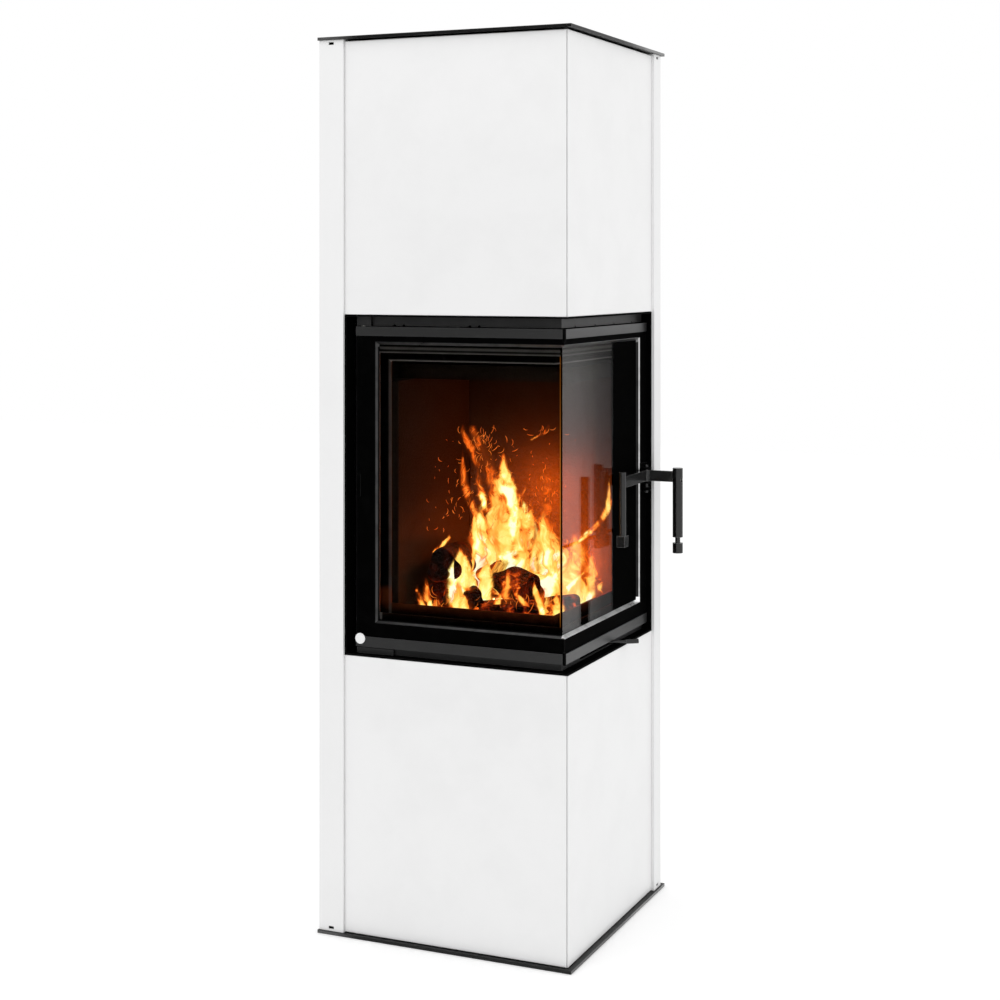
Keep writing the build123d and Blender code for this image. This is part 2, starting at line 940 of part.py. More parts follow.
def make_glass_retainer():
    """Frame that clamps the panes against their gasket."""
    frame = corner_ring(retainer_inset, retainer_back_inset, retainer_outline(), retainer_opening())
    notch_end = hinge_block_end() + hinge_block_gap
    reach = hinge_block_height + hinge_block_gap
    for z0, z1 in (
        (door_outline.bottom, door_outline.bottom + reach),
        (door_outline.top - reach, door_outline.top),
    ):
        frame = frame - block(door_outline.left, notch_end, front, front_y(door_back_inset) + 1, z0, z1)
    hole = retainer_screw_radius + retainer_screw_play
    y0 = front_y(retainer_inset)
    y1 = front_y(retainer_back_inset)
    x0 = side_x(retainer_back_inset)
    x1 = side_x(retainer_inset)
    for leg, along, z in retainer_screw_places():
        if leg == "front":
            frame = frame - along_y(along, z, hole, y0 - 1, y1 + 1)
        else:
            frame = frame - along_x(along, z, hole, x0 - 1, x1 + 1)
    return frame


def make_retainer_screws():
    """Screws from behind into the door's skin."""
    skin_back = skin_inset + skin_thickness
    head_end = retainer_back_inset + retainer_head_height
    screws = []
    for leg, along, z in retainer_screw_places():
        if leg == "front":
            shank = along_y(along, z, retainer_screw_radius, front_y(skin_back), front_y(retainer_back_inset))
            head = along_y(along, z, retainer_head_radius, front_y(retainer_back_inset), front_y(head_end))
        else:
            shank = along_x(along, z, retainer_screw_radius, side_x(retainer_back_inset), side_x(skin_back))
            head = along_x(along, z, retainer_head_radius, side_x(head_end), side_x(retainer_back_inset))
        screws.append(shank + head)
    return group(screws)


def make_door_gasket():
    """Rope seal between the door and the firebox's face."""
    frame = retainer_outline()
    outline = Outline(
        hinge_block_end() + hinge_block_gap,
        frame.rear - skin_thickness,
        frame.bottom,
        frame.top,
    )
    opening = grown(outline, -door_gasket_width)
    return corner_ring(retainer_back_inset, face_inset - contact_gap, outline, opening)


def make_badge():
    """Blank round badge at the lower left of the door."""
    x = door_outline.left + badge_from_left
    z = door_outline.bottom + badge_height
    y = front_y(trim_inset)
    return along_y(x, z, badge_radius, y - badge_thickness, y)


def make_stile_plate():
    """Small plate at half height of the door's hinge side."""
    z = (door_outline.bottom + door_outline.top) / 2 + stile_plate_lift
    y = front_y(skin_inset)
    x0 = door_outline.left + stile_plate_from_edge
    z0 = z - stile_plate_height / 2
    return block(x0, x0 + stile_plate_width, y - stile_plate_thickness, y, z0, z0 + stile_plate_height)


# ------------------------------------------------------------------ door hinges
def make_hinge_brackets():
    """Plates on the collar that carry the hinge pins."""
    x0 = hinge_x - 2 * hinge_pin_radius
    y0 = front_y(outlet_inset - hinge_plate_overhang)
    y1 = front_y(collar_back_inset)
    lower_top = door_outline.bottom - hinge_gap
    upper_bottom = door_outline.top + hinge_gap
    bore = hinge_pin_radius + press_gap
    lower = block(x0, hinge_x + hinge_lower_length, y0, y1, sill_top, lower_top)
    lower = lower - upright(hinge_x, hinge_y, bore, lower_top - hinge_plate_thickness, lower_top + 1)
    upper = block(x0, hinge_x + hinge_upper_length, y0, y1, upper_bottom, lintel_bottom)
    upper = upper - upright(hinge_x, hinge_y, bore, upper_bottom - 1, upper_bottom + hinge_plate_thickness)
    return group([lower, upper])


def make_hinge_pins():
    """Two pins on one upright line."""
    lower_top = door_outline.bottom - hinge_gap
    upper_bottom = door_outline.top + hinge_gap
    low = upright(
        hinge_x,
        hinge_y,
        hinge_pin_radius,
        lower_top - hinge_plate_thickness,
        door_outline.bottom + hinge_pin_reach,
    )
    high = upright(
        hinge_x,
        hinge_y,
        hinge_pin_radius,
        door_outline.top - hinge_pin_reach,
        upper_bottom + hinge_plate_thickness,
    )
    return group([low, high])


# ------------------------------------------------------------------ handle and latch
def make_handle_bracket():
    """Plate on the rear stile with two ears for the handle's pin."""
    skin = side_x(skin_inset)
    top = arm_bottom + arm_height
    plate = block(
        skin,
        skin + bracket_thickness,
        pivot_y - ear_reach,
        door_outline.rear - bracket_rear_gap,
        arm_bottom - ear_gap - ear_thickness,
        top + ear_gap + ear_thickness + bracket_margin,
    )
    shape = plate
    x1 = pivot_x + ear_reach
    y0 = pivot_y - ear_reach
    y1 = pivot_y + ear_reach
    for z0 in (arm_bottom - ear_gap - ear_thickness, top + ear_gap):
        shape = shape + block(skin, x1, y0, y1, z0, z0 + ear_thickness)
    bore = pivot_radius + running_gap
    shape = shape - upright(pivot_x, pivot_y, bore, pivot_top - pivot_length, pivot_top)
    room = hub_radius + hub_room
    return shape - upright(pivot_x, pivot_y, room, arm_bottom - ear_gap, top + ear_gap)


def make_handle_pin():
    """Pin that the handle and the pawl turn with."""
    return upright(pivot_x, pivot_y, pivot_radius, pivot_top - pivot_length, pivot_top)


def make_handle_lever():
    """Bent flat bar: hub, leg along the glass and leg out to the grip."""
    z0 = arm_bottom
    z1 = arm_bottom + arm_height
    half = arm_thickness / 2
    rod_end = pivot_y - post_rod_from_pivot + post_rod_radius + contact_gap
    grip_start = pivot_x + grip_reach - grip_radius - contact_gap
    hub = upright(pivot_x, pivot_y, hub_radius, z0, z1)
    leg = block(pivot_x - half, pivot_x + half, rod_end, pivot_y, z0, z1)
    arm = block(pivot_x, grip_start, pivot_y - half, pivot_y + half, z0, z1)
    shape = joined([hub, leg, arm])
    shape = shape - upright(pivot_x, pivot_y, pivot_radius + press_gap, z0 - 1, z1 + 1)
    hole = grip_screw_radius + running_gap
    bore = along_x(pivot_y, grip_screw_z(), hole, grip_start - grip_screw_bore, grip_start + 1)
    return shape - bore


def grip_screw_z():
    """Height of the screw that holds the grip."""
    return arm_bottom + grip_screw_head


def make_handle_grip():
    """Turned grip with a neck and an end knob."""
    x = pivot_x + grip_reach
    body_bottom = grip_top - grip_length
    neck_bottom = body_bottom - neck_length
    knob_bottom = neck_bottom - knob_length
    body = upright(x, pivot_y, grip_radius, body_bottom, grip_top)
    neck = upright(x, pivot_y, neck_radius, neck_bottom, body_bottom)
    knob = upright(x, pivot_y, grip_radius, knob_bottom, neck_bottom)
    shape = joined([body, neck, knob])
    outside = x + grip_radius
    z = grip_screw_z()
    sink = along_x(pivot_y, z, grip_screw_head + contact_gap, outside - grip_screw_sink, outside + 1)
    hole = along_x(pivot_y, z, grip_screw_radius + grip_screw_play, x - grip_radius - 1, outside)
    return shape - sink - hole


def make_grip_screw():
    """Screw through the grip into the arm."""
    x = pivot_x + grip_reach
    seat = x + grip_radius - grip_screw_sink
    z = grip_screw_z()
    tip = x - grip_radius - contact_gap - grip_screw_bite
    shank = along_x(pivot_y, z, grip_screw_radius, tip, seat)
    head = along_x(pivot_y, z, grip_screw_head, seat, seat + grip_screw_head_height)
    return shank + head


def make_handle_post():
    """Upright rod at the front end of the lever, with its foot."""
    y = pivot_y - post_rod_from_pivot
    bottom = post_rod_top - post_rod_length
    rod = upright(pivot_x, y, post_rod_radius, bottom, post_rod_top)
    foot = block(
        pivot_x - post_foot_depth / 2,
        pivot_x + post_foot_depth / 2,
        y - post_foot_width / 2,
        y + post_foot_width / 2,
        bottom,
        bottom + post_foot_height,
    )
    return rod + foot


def make_latch_pawl():
    """Hooked plate on the pin; its nose lies behind the keeper when the door is shut."""
    z0, z1 = latch_levels()
    hub = upright(pivot_x, pivot_y, pawl_hub_radius, z0, z1)
    band_start = pivot_y + pawl_band_from
    band_end = band_start + pawl_band_width
    inner_end = pivot_x + pawl_overlap
    root = block(pivot_x - pawl_hub_radius, inner_end, pivot_y, band_start + pawl_overlap, z0, z1)
    band = block(pivot_x - pawl_reach, inner_end, band_start, band_end, z0, z1)
    nose_edge = pivot_x - pawl_reach + pawl_nose_thickness
    nose_tip = band_end + pawl_nose_length
    nose = block(pivot_x - pawl_reach, nose_edge, band_end - pawl_overlap, nose_tip, z0, z1)
    shape = joined([hub, root, band, nose])
    return shape - upright(pivot_x, pivot_y, pivot_radius + press_gap, z0 - 1, z1 + 1)


def make_latch_keeper():
    """Plate on the rear jamb that the pawl hooks behind."""
    z0, z1 = latch_levels()
    x0 = pivot_x - pawl_reach + pawl_nose_thickness + keeper_play
    y0 = pivot_y + pawl_band_from + pawl_band_width + keeper_nose_gap
    y1 = window_rear - collar_thickness
    return block(x0, x0 + keeper_thickness, y0, y1, z0 - pawl_slot_margin, z1 + pawl_slot_margin)


# ------------------------------------------------------------------ firebox
def make_firebox_face():
    """Face plate of the firebox with the opening that wraps round the corner."""
    return corner_ring(face_inset, face_inset + steel, face_outline, fire_opening)


def make_firebox_walls():
    """Left and back wall, with the ledges that carry the upper baffle."""
    x1 = side_x(face_inset + steel)
    y0 = front_y(face_inset + steel)
    z0 = fire_floor_top
    z1 = firebox_top - steel
    left_wall = block(firebox_left, firebox_left + steel, y0, firebox_back - steel, z0, z1)
    back_wall = block(firebox_left, x1, firebox_back - steel, firebox_back, z0, z1)
    ledge_top = upper_baffle_z()
    ledge_front = y0 + ledge_front_gap
    ledge_rear = firebox_back - ledge_rear_gap
    ledges = []
    for edge, side in ((firebox_left + steel, 1), (x1, -1)):
        far = edge + side * ledge_width
        ledge = block(min(edge, far), max(edge, far), ledge_front, ledge_rear, ledge_top - steel, ledge_top)
        ledges.append(ledge)
    return group([left_wall + ledges[0], back_wall, ledges[1]])


def make_firebox_floor():
    """Floor plate with the ash well welded under it and the ledge of the air slide."""
    x1 = side_x(face_inset + steel)
    y0 = front_y(face_inset + steel)
    plate = block(firebox_left, x1, y0, firebox_back, fire_floor_bottom, fire_floor_top)
    t = well_thickness
    well_outside = (well_left - t, well_right + t, well_front - t, well_rear + t)
    well = block(*well_outside, well_bottom - t, fire_floor_bottom)
    well = well - block(well_left, well_right, well_front, well_rear, well_bottom, fire_floor_bottom + 1)
    hole = block(well_left, well_right, well_front, well_rear, fire_floor_bottom - 1, fire_floor_top + 1)
    port = air_port()
    x0 = well_right + t
    slide_room = slide_thickness + 2 * contact_gap
    ledge = block(x0, x0 + slide_room + t, well_front, well_rear, well_bottom - t, well_bottom)
    lip_x = x0 + slide_room
    lip = block(lip_x, lip_x + t, well_front, well_rear, well_bottom, well_bottom + slide_lip)
    return joined([plate - hole, well, ledge, lip]) - port


def air_port():
    """Opening in the ash well's right wall, left free by the slide at rest."""
    y0 = crank_pin_place()[1] + slide_rear + port_gap
    z0 = well_bottom + slide_lip + port_lift
    return block(well_right - 1, well_right + well_thickness + 1, y0, y0 + port_length, z0, z0 + port_height)


def make_firebox_top():
    """Top plate with the flue hole."""
    x1 = side_x(face_inset + steel)
    y0 = front_y(face_inset + steel)
    plate = block(firebox_left, x1, y0, firebox_back, firebox_top - steel, firebox_top)
    return plate - upright(flue_x, flue_y, smoke_hole_radius, firebox_top - steel - 1, firebox_top + 1)


def lining_front():
    """Y of the lining's front edge, just behind the face plate."""
    return front_y(face_inset + steel) + lining_front_gap


def make_lining_left():
    """Board along the left wall."""
    x0 = firebox_left + steel + contact_gap
    back_start = firebox_back - steel - 2 * contact_gap - lining_thickness
    z0 = lining_floor_top + contact_gap
    return block(x0, x0 + lining_thickness, lining_front(), back_start - contact_gap, z0, lining_top)


def make_lining_back():
    """Board along the back wall."""
    y1 = firebox_back - steel - contact_gap
    z0 = lining_floor_top + contact_gap
    x0 = firebox_left + steel + contact_gap
    x1 = side_x(face_inset + steel) - contact_gap
    return block(x0, x1, y1 - lining_thickness, y1, z0, lining_top)


def make_lining_right():
    """Narrow board behind the solid part of the side face."""
    x1 = side_x(face_inset + steel) - contact_gap
    y1 = firebox_back - steel - 2 * contact_gap - lining_thickness
    z0 = lining_floor_top + contact_gap
    y0 = fire_opening.rear + lining_right_gap
    return block(x1 - lining_thickness, x1, y0, y1 - contact_gap, z0, lining_top)


def make_lining_floor():
    """Four floor bricks round the grate."""
    x0 = firebox_left + steel + contact_gap
    x1 = side_x(face_inset + steel) - contact_gap
    y0 = front_y(face_inset + steel) + contact_gap
    y1 = firebox_back - steel - contact_gap
    gx0 = grate_x - grate_width / 2 - grate_gap
    gx1 = grate_x + grate_width / 2 + grate_gap
    gy0 = grate_y - grate_depth / 2 - grate_gap
    gy1 = grate_y + grate_depth / 2 + grate_gap
    z0 = fire_floor_top
    z1 = lining_floor_top
    return group([
        block(x0, gx0, y0, y1, z0, z1),
        block(gx1, x1, y0, y1, z0, z1),
        block(gx0 + contact_gap, gx1 - contact_gap, y0, gy0, z0, z1),
        block(gx0 + contact_gap, gx1 - contact_gap, gy1, y1, z0, z1),
    ])


def make_baffle_lower():
    """Insulating board on top of the lining, with a gap for smoke at the front."""
    x0 = firebox_left + steel + contact_gap
    x1 = side_x(face_inset + steel) - contact_gap
    y0 = front_y(face_inset + steel) + baffle_smoke_gap
    y1 = firebox_back - steel - contact_gap
    z0 = lining_top + contact_gap
    return block(x0, x1, y0, y1, z0, z0 + baffle_thickness)


def upper_baffle_z():
    """Underside of the upper baffle."""
    return lining_top + baffle_thickness + upper_baffle_lift


def make_baffle_upper():
    """Steel plate on the ledges, with its gap at the rear."""
    x0 = firebox_left + steel + upper_baffle_side_gap
    x1 = side_x(face_inset + steel) - upper_baffle_side_gap
    y0 = front_y(face_inset + steel) + upper_baffle_front_gap
    y1 = firebox_back - steel - upper_baffle_gap
    z0 = upper_baffle_z()
    return block(x0, x1, y0, y1, z0, z0 + upper_baffle_thickness)


# ------------------------------------------------------------------ grate and ash pan
def make_grate():
    """Cast grate with long slots in two rows."""
    z0 = fire_floor_top
    z1 = z0 + grate_height
    x0 = grate_x - grate_width / 2
    x1 = grate_x + grate_width / 2
    y0 = grate_y - grate_depth / 2
    y1 = grate_y + grate_depth / 2
    plate = block(x0, x1, y0, y1, z0, z1)
    x = x0 + grate_rim
    slots = None
    while x + grate_slot < x1 - grate_rim:
        for s0, s1 in ((y0 + grate_rim, grate_y - grate_bar / 2), (grate_y + grate_bar / 2, y1 - grate_rim)):
            slot = block(x, x + grate_slot, s0, s1, z0 - 1, z1 + 1)
            slots = slot if slots is None else slots + slot
        x = x + grate_slot + grate_bar
    return plate - slots


def make_ash_pan():
    """Open tray in the ash well."""
    g = ash_pan_gap
    t = ash_pan_thickness
    z0 = well_bottom
    outer = block(well_left + g, well_right - g, well_front + g, well_rear - g, z0, z0 + ash_pan_depth)
    inner = block(
        well_left + g + t,
        well_right - g - t,
        well_front + g + t,
        well_rear - g - t,
        z0 + t,
        z0 + ash_pan_depth + 1,
    )
    return outer - inner


# ------------------------------------------------------------------ flue
def make_flue_collar():
    """Socket with a flange on the firebox, round the foot of the flue pipe."""
    inner = flue_radius + flue_thickness + flue_slip
    outer = inner + steel
    flange = upright(flue_x, flue_y, outer + collar_flange_width, firebox_top, firebox_top + steel)
    socket = upright(flue_x, flue_y, outer, firebox_top + steel, firebox_top + collar_height)
    bore = upright(flue_x, flue_y, inner, firebox_top - 1, firebox_top + collar_height + 1)
    return flange + socket - bore


def make_flue_pipe():
    """Pipe from the collar to the top plate; its upper end takes the connecting pipe."""
    z0 = firebox_top
    z1 = height - flue_top_drop
    outer = upright(flue_x, flue_y, flue_radius + flue_thickness, z0, z1)
    return outer - upright(flue_x, flue_y, flue_radius, z0 - 1, z1 + 1)


# ------------------------------------------------------------------ air supply and control
def make_air_box():
    """Open-topped chamber under the firebox floor."""
    t = air_box_thickness
    z1 = fire_floor_bottom
    outer = block(air_box_left, air_box_right, air_box_front, air_box_rear, air_box_bottom, z1)
    inner = block(
        air_box_left + t,
        air_box_right - t,
        air_box_front + t,
        air_box_rear - t,
        air_box_bottom + t,
        z1 + 1,
    )
    inlet = along_y(spigot_x, spigot_z, inlet_hole_radius, air_box_rear - 2 * t, air_box_rear + 1)
    slot = lever_slot(air_box_right, lever_z + lever_rod_radius + lever_slot_gap)
    return outer - inner - inlet - slot


def make_air_spigot():
    """Socket for the outside-air duct, through the back panel."""
    y1 = casing_back_face + spigot_overhang
    outer = along_y(spigot_x, spigot_z, spigot_radius + spigot_thickness, air_box_rear, y1)
    return outer - along_y(spigot_x, spigot_z, spigot_radius, air_box_rear - 1, y1 + 1)


def crank_pin_place():
    """Plan place of the crank pin at rest."""
    angle = radians(180.0 + lever_rest_angle)
    return lever_x + crank_radius * cos(angle), lever_y + crank_radius * sin(angle)


def lever_hub_bottom():
    """Underside of the lever's hub."""
    return lever_z - lever_hub_height / 2


def make_air_lever():
    """Hub, rod and crank of the air control."""
    z0 = lever_hub_bottom()
    z1 = z0 + lever_hub_height
    hub = upright(lever_x, lever_y, lever_hub_radius, z0, z1)
    rod_length = lever_length - lever_knob_length / 2
    turn = Pos(lever_x, lever_y, lever_z) * Rot(0, 0, lever_rest_angle)
    rod = turn * Pos(rod_length / 2, 0, 0) * Rot(0, 90, 0) * Cylinder(lever_rod_radius, rod_length)
    crank_z = z0 + crank_plate / 2 - lever_z
    arm_width = 2 * (crank_pin_radius + crank_rim)
    arm = turn * Pos(-crank_radius / 2, 0, crank_z) * Box(crank_radius, arm_width, crank_plate)
    px, py = crank_pin_place()
    boss = upright(px, py, crank_pin_radius + crank_rim, z0, z0 + crank_plate)
    tab_z = slide_tab_z()
    pin = upright(px, py, crank_pin_radius, tab_z - crank_pin_overrun, z0)
    shape = joined([hub, rod, arm, boss, pin])
    return shape - upright(lever_x, lever_y, lever_pin_radius + running_gap, z0 - 1, z1 + 1)


def make_air_lever_knob():
    """Sleeve on the tip of the rod."""
    turn = Pos(lever_x, lever_y, lever_z) * Rot(0, 0, lever_rest_angle)
    middle = lever_length - lever_knob_length / 2
    place = turn * Pos(middle, 0, 0) * Rot(0, 90, 0)
    sleeve = place * Cylinder(lever_knob_radius, lever_knob_length)
    bore = turn * Pos(middle - lever_knob_length / 2, 0, 0) * Rot(0, 90, 0)
    return sleeve - bore * Cylinder(lever_rod_radius + press_gap, lever_knob_length)


def make_air_lever_pivot():
    """Flange and pin under the firebox floor, with a collar that keeps the lever on."""
    z0 = lever_hub_bottom()
    z1 = z0 + lever_hub_height
    flange = upright(lever_x, lever_y, lever_flange_radius, z1 + contact_gap, fire_floor_bottom)
    tip = z0 - lever_keep_thickness
    pin = upright(lever_x, lever_y, lever_pin_radius, tip, z1 + contact_gap)
    keep = upright(lever_x, lever_y, lever_pin_radius + lever_keep_rim, tip, z0 - contact_gap)
    return joined([flange, pin, keep])


def slide_tab_z():
    """Underside of the tab that the crank pin drives."""
    return lever_hub_bottom() - slide_tab_thickness - slide_tab_gap


def make_air_slide():
    """Plate that covers the air port, with the slotted tab for the crank pin."""
    px, py = crank_pin_place()
    x0 = well_right + well_thickness + contact_gap
    x1 = x0 + slide_thickness
    z0 = well_bottom + contact_gap
    tab_z = slide_tab_z()
    tab_top = tab_z + slide_tab_thickness
    plate = block(x0, x1, py - slide_front, py + slide_rear, z0, tab_top)
    reach = px + crank_pin_radius + crank_play + slide_tab_rim
    tab = block(x1, reach, py - slide_tab_width / 2, py + slide_tab_width / 2, tab_z, tab_top)
    room = crank_pin_radius + crank_play
    near = lever_x - crank_radius - room
    slot = block(near, px + room, py - room, py + room, tab_z - 1, tab_top + 1)
    return plate + tab - slot


# ------------------------------------------------------------------ all nodes
def all_parts():
    """Every node's name and shape."""
    lower = (plate_thickness + tile_foot_gap, sill_height)
    upper = (head_height, tile_top)
    return {
        "base_plate": make_base_plate(),
        "top_plate": make_top_plate(),
        "casing_left": make_casing_left(),
        "casing_back": make_casing_back(),
        "casing_screws": make_casing_screws(),
        "tile_front_lower": make_front_tile(*lower),
        "tile_side_lower": make_side_tile(*lower),
        "tile_front_upper": make_front_tile(*upper),
        "tile_side_upper": make_side_tile(*upper),
        "tile_clips": make_tile_clips(),
        "frame_posts": make_frame_posts(),
        "frame_bars": make_frame_bars(),
        "support_rails": make_support_rails(),
        "heat_shields": make_heat_shields(),
        "collar_sill": make_collar_shelf(sill_height, sill_top),
        "collar_lintel": make_collar_shelf(lintel_bottom, head_height),
        "collar_jambs": make_collar_jambs(),
        "outlet_sheet_upper": make_outlet_upper(),
        "outlet_sheet_lower": make_outlet_lower(),
        "door_frame": make_door_frame(),
        "door_trim": make_door_trim(),
        "glass_front": front_leg(glass_inset, glass_back_inset, glass_outline, glass_mitre_gap),
        "glass_side": side_leg(glass_inset, glass_back_inset, glass_outline, glass_mitre_gap),
        "glass_gasket": make_glass_gasket(),
        "glass_bezel": make_glass_bezel(),
        "glass_retainer": make_glass_retainer(),
        "retainer_screws": make_retainer_screws(),
        "door_gasket": make_door_gasket(),
        "badge_disc": make_badge(),
        "stile_plate": make_stile_plate(),
        "hinge_brackets": make_hinge_brackets(),
        "hinge_pins": make_hinge_pins(),
        "handle_bracket": make_handle_bracket(),
        "handle_pin": make_handle_pin(),
        "handle_lever": make_handle_lever(),
        "handle_grip": make_handle_grip(),
        "grip_screw": make_grip_screw(),
        "handle_post": make_handle_post(),
        "latch_pawl": make_latch_pawl(),
        "latch_keeper": make_latch_keeper(),
        "firebox_face": make_firebox_face(),
        "firebox_walls": make_firebox_walls(),
        "firebox_floor": make_firebox_floor(),
        "firebox_top": make_firebox_top(),
        "lining_left": make_lining_left(),
        "lining_back": make_lining_back(),
        "lining_right": make_lining_right(),
        "lining_floor": make_lining_floor(),
        "baffle_lower": make_baffle_lower(),
        "baffle_upper": make_baffle_upper(),
        "grate": make_grate(),
        "ash_pan": make_ash_pan(),
        "flue_collar": make_flue_collar(),
        "flue_pipe": make_flue_pipe(),
        "air_box": make_air_box(),
        "air_inlet_spigot": make_air_spigot(),
        "air_slide": make_air_slide(),
        "air_lever": make_air_lever(),
        "air_lever_knob": make_air_lever_knob(),
        "air_lever_pivot": make_air_lever_pivot(),
    }


os.makedirs("parts", exist_ok=True)
for name, shape in all_parts().items():
    export_step(shape, f"parts/{name}.step")
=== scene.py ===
"""Finishes, fire and studio for a tall tiled wood stove with a corner glass door.

All lengths are metres in the stove's own frame: front towards -Y, glazed side towards +X, floor at z = 0.
"""

import math

import bpy
import numpy as np
from bpy.props import FloatProperty, FloatVectorProperty, IntProperty, PointerProperty
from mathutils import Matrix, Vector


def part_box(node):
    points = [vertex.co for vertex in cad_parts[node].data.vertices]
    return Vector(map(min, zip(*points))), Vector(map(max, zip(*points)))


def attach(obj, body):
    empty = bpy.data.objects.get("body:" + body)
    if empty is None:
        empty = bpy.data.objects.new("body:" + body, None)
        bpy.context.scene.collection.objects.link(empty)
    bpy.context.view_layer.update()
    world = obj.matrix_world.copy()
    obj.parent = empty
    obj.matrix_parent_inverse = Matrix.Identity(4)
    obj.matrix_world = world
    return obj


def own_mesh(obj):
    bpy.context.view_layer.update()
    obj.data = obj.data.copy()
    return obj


bl_info = {
    "name": "Tiled Corner Stove",
    "version": (1, 0, 0),
    "blender": (4, 5, 0),
    "location": "View3D > Sidebar > Stove",
    "description": "Dresses a tiled wood stove with finishes, a log fire and a plain studio",
    "category": "Object",
}

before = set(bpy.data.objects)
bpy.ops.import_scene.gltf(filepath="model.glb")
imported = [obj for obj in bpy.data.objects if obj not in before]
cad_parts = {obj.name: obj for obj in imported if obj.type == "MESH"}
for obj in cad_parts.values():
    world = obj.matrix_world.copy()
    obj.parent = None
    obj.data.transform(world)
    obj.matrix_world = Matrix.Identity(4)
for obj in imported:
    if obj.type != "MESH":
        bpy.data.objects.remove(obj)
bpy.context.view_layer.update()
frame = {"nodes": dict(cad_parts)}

GLASS_SIDE_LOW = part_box("glass_side")[0]
LINING_LEFT_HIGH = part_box("lining_left")[1]
LINING_FLOOR_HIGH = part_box("lining_floor")[1]
GRATE_LOW, GRATE_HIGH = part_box("grate")

BLACK = (0.0, 0.0, 0.0)
WHITE = (1.0, 1.0, 1.0)
UP = np.array([0.0, 0.0, 1.0])


def linear(*screen):
    """Levels of 0 to 255, as a screen shows them, turned to the linear values that Blender takes."""
    shares = [level / 255 for level in screen]
    return tuple(s / 12.92 if s <= 0.04045 else ((s + 0.055) / 1.055) ** 2.4 for s in shares)


def grey(level):
    """A grey from a screen's level of 0 to 255."""
    return linear(level, level, level)


# ---------------------------------------------------------------- settings


def colour_property(name, description, default):
    """A linear colour that a user picks in the panel."""
    return FloatVectorProperty(
        name=name, description=description, subtype="COLOR", size=3, min=0.0, max=1.0, default=default
    )


def length_property(name, description, default, low=0.0, high=5.0):
    """A length in metres that a user sets in the panel."""
    return FloatProperty(
        name=name, description=description, subtype="DISTANCE", unit="LENGTH", default=default, min=low, max=high
    )


class StoveColours(bpy.types.PropertyGroup):
    """Colours of the stove's finishes."""

    tile: colour_property("Tile", "Glazed tile", grey(244))
    coat: colour_property("White coat", "Powder coat of the sheet casing", grey(243))
    plate: colour_property("Plate", "Burnished steel of the base and top plates", grey(150))
    frame: colour_property("Frame black", "Paint of the collar and the door frame", grey(3))
    sheet: colour_property("Sheet grey", "Paint of the outlet sheets and hinge brackets", grey(38))
    # The bezel colour is painted reflection: the bright grey along the rear of the glazed side's bezel.
    bezel: colour_property("Bezel", "Polished bezel round the glass", grey(200))
    lacquer: colour_property("Bar lacquer", "Lacquer of the trim bars round the glass", grey(38))
    handle: colour_property("Handle lacquer", "Lacquer of the handle", grey(17))
    stove_paint: colour_property("Stove paint", "Matt paint of the firebox and pipe", grey(15))
    galvanised: colour_property("Galvanised sheet", "Frame and air duct", linear(168, 172, 174))
    zinc: colour_property("Zinc", "Screws and pins", linear(190, 190, 186))
    lining: colour_property("Lining", "Pressed vermiculite boards", linear(72, 60, 47))
    rope: colour_property("Rope seal", "Woven glass rope", linear(40, 40, 38))
    iron: colour_property("Cast iron", "Grate", linear(48, 46, 45))
    bark: colour_property("Charred bark", "Outside of the logs", linear(34, 22, 17))
    ash: colour_property("Ash", "Bed under the fire", linear(120, 108, 98))


class StoveFire(bpy.types.PropertyGroup):
    """Sizes and colours of the fire."""

    reach: length_property("Flame reach", "Highest level of a flame or spark above the floor", 0.846, 0.6, 0.9)
    ember_size: length_property("Ember size", "Half of a typical ember", 0.0085, 0.002, 0.03)
    ember_count: IntProperty(name="Embers", description="Number of embers on the grate", default=170, min=10, max=600)
    spark_count: IntProperty(name="Sparks", description="Number of sparks over the fire", default=70, min=0, max=600)
    spark_length: length_property("Spark length", "Length of a typical spark", 0.0045, 0.001, 0.03)
    slice_gap: length_property("Flame mesh", "Spacing of the points on a sheet of flame", 0.003, 0.001, 0.01)
    core: colour_property("Flame core", "Hottest part of a flame", (1.0, 0.86, 0.27))
    middle: colour_property("Flame middle", "Body of a flame", (1.0, 0.36, 0.045))
    edge: colour_property("Flame edge", "Coolest rim of a flame", (0.90, 0.13, 0.010))
    strength: FloatProperty(name="Flame strength", description="Brightness of the flames", default=1.35, min=0, max=20)
    glow_colour: colour_property("Glow colour", "Light that the fire throws", (1.0, 0.16, 0.005))
    glow_power: FloatProperty(
        name="Glow power", description="Power of the fire's light in watts", default=5.6, min=0, max=60
    )


class StoveStudio(bpy.types.PropertyGroup):
    """Camera, floor and lamps."""

    camera_place: FloatVectorProperty(
        name="Camera place", description="Where the camera stands", subtype="TRANSLATION", unit="LENGTH",
        size=3, default=(1.309129, -2.953668, 1.121079),
    )
    camera_turn: FloatProperty(
        name="Camera turn", description="Heading of the level camera", subtype="ANGLE", default=math.radians(23.82)
    )
    lens: FloatProperty(name="Lens", description="Focal length in millimetres", default=66.428, min=10, max=300)
    shift: FloatProperty(name="Lens shift", description="Vertical shift of the level camera", default=-0.2319)
    floor_size: length_property("Floor size", "Side of the square floor", 16.0, 2.0, 60.0)
    sky: FloatProperty(name="Surround", description="Strength of the white surround", default=0.985, min=0, max=5)
    key: FloatProperty(name="Key lamp", description="Power of the soft key lamp in watts", default=6.0, min=0, max=500)
    fill: FloatProperty(
        name="Fill lamp", description="Power of the soft lamp on the right in watts", default=2.5, min=0, max=500
    )


# ---------------------------------------------------------------- shader expressions


